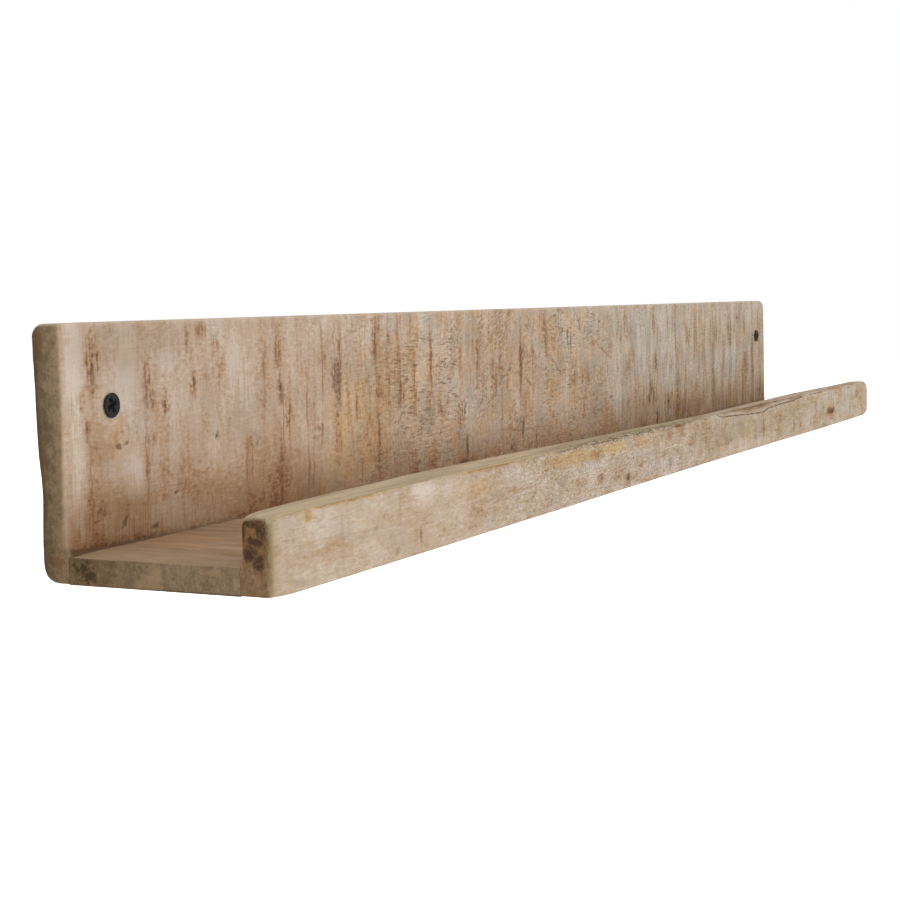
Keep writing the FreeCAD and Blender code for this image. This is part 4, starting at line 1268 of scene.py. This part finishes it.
stripes = wood.grain((4.6, 30, 20), 79.0, 4, 0.6)
ragged = wood.grain((3.4, 10, 1.4), 83.0, 5, 0.68, 0.5) - 0.5
lengthwise = wood.grain((12.0, 10, 1.0), 87.0, 3, 0.6, 0.4)
middle = wood.ease(x, -370.0, -240.0)
far = wood.ease(x, 60.0, 260.0)

# How dirty the face is, and the layers over it. middle, right and far are 0 at the left and 1
# from the first quarter on, right of the middle, and in the last quarter.
dirt = 0.33 + 0.7 * (area - 0.5) + 0.6 * (patches - 0.5)
dirt = dirt + (0.5 + 0.2 * middle) * (lengthwise - 0.5)
dirt = dirt + (0.7 + 0.6 * middle - 0.65 * right) * ragged
dirt = dirt + (0.3 + 0.4 * right) * (stripes - 0.5)
dirt = dirt + (0.36 - 0.12 * right) * wood.layer("soil") + 0.04 * right
tone = wood.ramp(dirt, [(0.06, (210, 193, 176)), (0.32, (196, 173, 149)),
                        (0.52, (181, 153, 123)), (0.76, (150, 116, 86)),
                        (1.0, (112, 84, 62))])
grey = wood.spots(0.50, 0.64, (24, 20, 10), 75.0, 3, 0.6)
tone = wood.mix(grey * 0.4, tone, (192, 177, 164))
thin = wood.ease(wood.nearest(LIP_THIN, waver) + 2.4 * ragged, 1.2, 0.2) * facing
tone = wood.mix(thin * wood.ease(x, -390.0, -320.0, 0.14, 0.3), tone, (140, 106, 76))
smoke = wood.ease(wood.layer("smoke") + 1.5 * ragged, 0.05, 1.0)
tone = wood.mix(smoke * 0.6, tone, (120, 98, 88))
fine = 0.4 + 0.9 * middle - 0.85 * right - 0.1 * far
tone = wood.shade(tone, fibres(wood, (3.6, 10, 0.9), 85.0, fine))
mottle = wood.grain((1.3, 1.3, 1.1), 89.0, 3, 0.65)
tone = wood.shade(tone, 1.0 + (0.2 + 0.5 * middle - 0.55 * right) * (mottle - 0.5))
dashes = wood.spots(0.54, 0.70, (1.1, 12, 4.6), 86.0, 3, 0.62)
dashes = dashes * wood.spots(0.44, 0.60, (22, 20, 14), 88.0) * middle
tone = wood.mix(dashes * 0.6, tone, (132, 102, 76))
tone = wood.wash(middle, tone, (247, 250, 255))
warm = wood.spots(0.46, 0.60, (16, 30, 12), 92.0, 3, 0.6)
tone = wood.wash(warm * (0.1 + 0.6 * right), tone, (255, 246, 224))
tone = wood.shade(tone, 1.0 + 0.05 * right)
tone = wood.wash(right * 0.8, tone, (248, 252, 255))
tone = wood.wash(1.0, tone, wood.layer("coat", "Vector"))
marks = wood.ease(wood.nearest(LIP_MARKS, waver) + 1.8 * ragged, 1.25, 0.3) * facing
tone = wood.mix(marks * 0.8, tone, (66, 50, 46))

# The facet, the top and the rough edge between face and top.
worn_top = wood.mix(wood.spots(0.42, 0.62, (26, 5, 2.2), 90.0, 4, 0.65),
                    (192, 172, 152), (168, 136, 108))
worn_top = wood.shade(worn_top, fibres(wood, (12, 1.5, 0.8), 94.0, 0.7))
tone = wood.mix(wood.layer("facet") * 0.85, tone, worn_top)
top = wood.mix(wood.spots(0.4, 0.62, (70, 3, 20), 91.0, 3, 0.6),
               (196, 174, 142), (176, 156, 126))
top = wood.shade(top, fibres(wood, (14, 0.9, 2), 93.0, 0.6))
top = wood.shade(top, wood.ease(x, -260.0, -180.0, 1.0, 0.85))
top_right = wood.ease(x, -70.0, 90.0)
top = wood.mix(top_right, top, worn_top)
tone = wood.mix(wood.ease(wood.layer("top"), 0.5, 0.95), tone, top)
# Rounded edges lighter: partly rubbed wear and partly a painted highlight.
rubbed_and_highlight_tone = wood.mix(top_right, (198, 178, 138), worn_top)
tone = wood.mix(wood.layer("rub_and_highlight") * 0.5, tone, rubbed_and_highlight_tone)
edge = wood.ease(wood.nearest(LIP_EDGE, waver) + 2.0 * ragged, 1.3, 0.2)
edge = edge * wood.ease(wood.layer("top"), 0.97, 0.7) * wood.ease(y, -93.0, -97.0)
edge_tone = wood.mix(wood.ease(x, -310.0, -220.0), (156, 124, 78), (96, 76, 50))
tone = wood.mix(edge * 0.8, tone, edge_tone)
fleck = wood.spots(0.46, 0.57, (3.6, 3, 0.9), 97.0, 4, 0.7, 0.8)
broken = wood.ease(wood.nearest(LIP_BROKEN_EDGE, waver), 1.15, 0.5) * fleck
tone = wood.mix(broken * wood.ease(y, -95.0, -99.0) * 0.7, tone, (92, 74, 52))

# The end, with its pale rim at the front and the top: partly rubbed wear and partly a painted
# highlight.
end = sawn_end(wood, (162, 130, 95), (124, 96, 66), (74, 54, 38), 95.0)
end = wood.wash(wood.ease(z, -58.0, -46.0), end, (230, 218, 200))
rough = wood.grain((3.0, 2.6, 2.6), 96.0, 4, 0.6) - 0.5
stain = wood.ease(wood.nearest(LIP_END_STAINS, wood.place, True) + 1.9 * rough, 1.4, 0.6)
fleck = wood.ease(wood.grain((3, 2.0, 1.8), 99.0, 3, 0.6), 0.36, 0.56, 0.6, 1.0)
end = wood.mix(stain * fleck * 0.9, end, (68, 48, 35))
ring = wood.ease(y + 5.0 * rough, -98.8, -102.0) + wood.ease(z + 4.0 * rough, -41.0, -38.4)
end = wood.mix(wood.ease(ring, 0.0, 1.0) * 0.8, end, (172, 152, 116))
speck = wood.ease(wood.nearest(LIP_END_SPECK, wood.place, True) + 1.2 * rough, 1.2, 0.4)
end = wood.mix(speck * 0.5, end, (196, 194, 178))
tone = wood.mix(wood.ease(wood.layer("end") + 0.5 * rough, 0.28, 0.85), tone, end)

# The split: painted shade, dark brown where it stands open.
gap = wood.node("ShaderNodeMath", {"operation": "ABSOLUTE"}, {0: wood.layer("above_split")})
open_share = wood.ease(wood.grain((9, 9, 9), 98.0), 0.38, 0.55, 0.45, 0.85)
split = wood.ease(gap + 0.8 * ragged, 0.62, 0.12) * open_share
tone = wood.mix(split, tone, (76, 55, 40))
relief = 0.14 * mottle - 0.12 * dirt + 0.08 * stripes
dress(front_lip, wood, tone, mottle, relief)

# %% [markdown]
# ## Screws and nails
#
# The wall screws are black from their phosphate coat, which is worn thin in spots. The others are
# bright zinc, and the nails, sunk in the lip, are plain steel gone brown.

# %% Metal finishes
black = Finish("black_screw")
worn = black.grain((0.9, 0.9, 0.9), 3.0, 3, 0.6)
tone = black.mix(black.ease(worn, 0.58, 0.75) * 0.4, (30, 30, 32), (52, 51, 50))
give(black.done(tone, 0.5 + 0.25 * worn, 0.05 * worn, 0.5, {"Specular IOR Level": 0.25}),
     *wall_screws)

zinc = Finish("zinc_screw")
cloud = zinc.grain((1.5, 1.5, 1.5), 5.0, 3, 0.6)
tone = zinc.mix(cloud, (196, 198, 200), (150, 150, 146))
give(zinc.done(tone, 0.25 + 0.3 * cloud, 0.04 * cloud, 0.5, {"Metallic": 1.0}), *shelf_screws)

rust = Finish("rusty_nail")
cloud = rust.grain((0.8, 0.8, 0.8), 7.0, 4, 0.65)
tone = rust.mix(rust.ease(cloud, 0.42, 0.62), (58, 50, 44), (96, 62, 40))
nails = [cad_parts[f"lip_nail_{n}"] for n in range(1, 5)]
give(rust.done(tone, 0.6 + 0.3 * cloud, 0.08 * cloud, 0.6, {"Metallic": 0.4}), *nails)

# %% [markdown]
# ## Floor, background and light
#
# The ledge hangs in white space in the photograph. A pale floor lies 1.2 m under it, as in a room,
# where it takes the shadow, and the world behind is white to the camera. The light is soft and
# comes from the front and a little above: one broad lamp, and the even light of the world.

# %% Floor, world and lamp
FLOOR_LEVEL = BOTTOM / MM - 1.2
FLOOR_HALF = 30.0
FLOOR_PAINT = (0.85, 0.85, 0.85, 1.0)
WORLD_LIGHT = 0.78
LAMP_PLACE = (0.6, -3.0, 0.9)
LAMP_SIZE = 2.2
LAMP_POWER = 26.0     # watts
mesh = bpy.data.meshes.new("floor")
corners = [(-1, -1), (1, -1), (1, 1), (-1, 1)]
mesh.from_pydata([(a * FLOOR_HALF, b * FLOOR_HALF, FLOOR_LEVEL) for a, b in corners], [],
                 [(0, 1, 2, 3)])
floor = bpy.data.objects.new("floor", mesh)
bpy.context.scene.collection.objects.link(floor)


def seen_directly(finish):
    """1 where the camera, a reflection or glass sees the surface, and 0 where only light does."""
    path = finish.tree.nodes.new("ShaderNodeLightPath")
    camera_ray, glossy, through = [Wire(finish, path.outputs[name]) for name in
                                   ("Is Camera Ray", "Is Glossy Ray", "Is Transmission Ray")]
    return camera_ray + glossy + through


plain = Finish("pale_floor")
direct = seen_directly(plain)
far = plain.node("ShaderNodeVectorMath", {"operation": "LENGTH"}, {0: plain.place}, "Value")
fade = plain.ease(far, 1.5, 3.5)
glow = plain.node("ShaderNodeEmission", None, {
    "Color": WHITE, "Strength": direct * (0.35 + 0.65 * fade)})
matt = plain.node("ShaderNodeBsdfDiffuse", None, {"Color": FLOOR_PAINT})
both = plain.node("ShaderNodeAddShader", None, {0: glow, 1: matt})
clear = plain.node("ShaderNodeBsdfTransparent")
under = plain.node("ShaderNodeNewGeometry", out="Backfacing")
both = plain.node("ShaderNodeMixShader", None, {0: under, 1: both, 2: clear})
output = plain.tree.nodes.new("ShaderNodeOutputMaterial")
plain.tree.links.new(both.socket, output.inputs["Surface"])
give(plain.material, floor)

# The world lights evenly, and is quite white where the camera looks straight at it.
world = bpy.data.worlds.new("white_room")
bpy.context.scene.world = world
world.use_nodes = True
nodes, links = world.node_tree.nodes, world.node_tree.links
nodes.clear()
path, sky, out = (nodes.new(sort) for sort in
                  ("ShaderNodeLightPath", "ShaderNodeBackground", "ShaderNodeOutputWorld"))
seen, strength = (nodes.new("ShaderNodeMath") for _ in range(2))
seen.operation = strength.operation = "MAXIMUM"
links.new(path.outputs["Is Camera Ray"], seen.inputs[0])
links.new(path.outputs["Is Transmission Ray"], seen.inputs[1])
links.new(seen.outputs[0], strength.inputs[0])
strength.inputs[1].default_value = WORLD_LIGHT
sky.inputs["Color"].default_value = WHITE
links.new(strength.outputs[0], sky.inputs["Strength"])
links.new(sky.outputs[0], out.inputs["Surface"])

# One broad lamp in front, a little above, which faces the middle of the ledge.
lamp = bpy.data.objects.new("front_lamp", bpy.data.lights.new("front_lamp", "AREA"))
lamp.data.shape = "SQUARE"
lamp.data.size = LAMP_SIZE
lamp.data.energy = LAMP_POWER
bpy.context.scene.collection.objects.link(lamp)
lamp.matrix_world = (Matrix.Translation(LAMP_PLACE)
                     @ Vector(LAMP_PLACE).to_track_quat("Z", "Y").to_matrix().to_4x4())
bpy.context.scene.view_settings.view_transform = "Standard"
print("floor at", round(FLOOR_LEVEL, 3), "m; world light", WORLD_LIGHT)
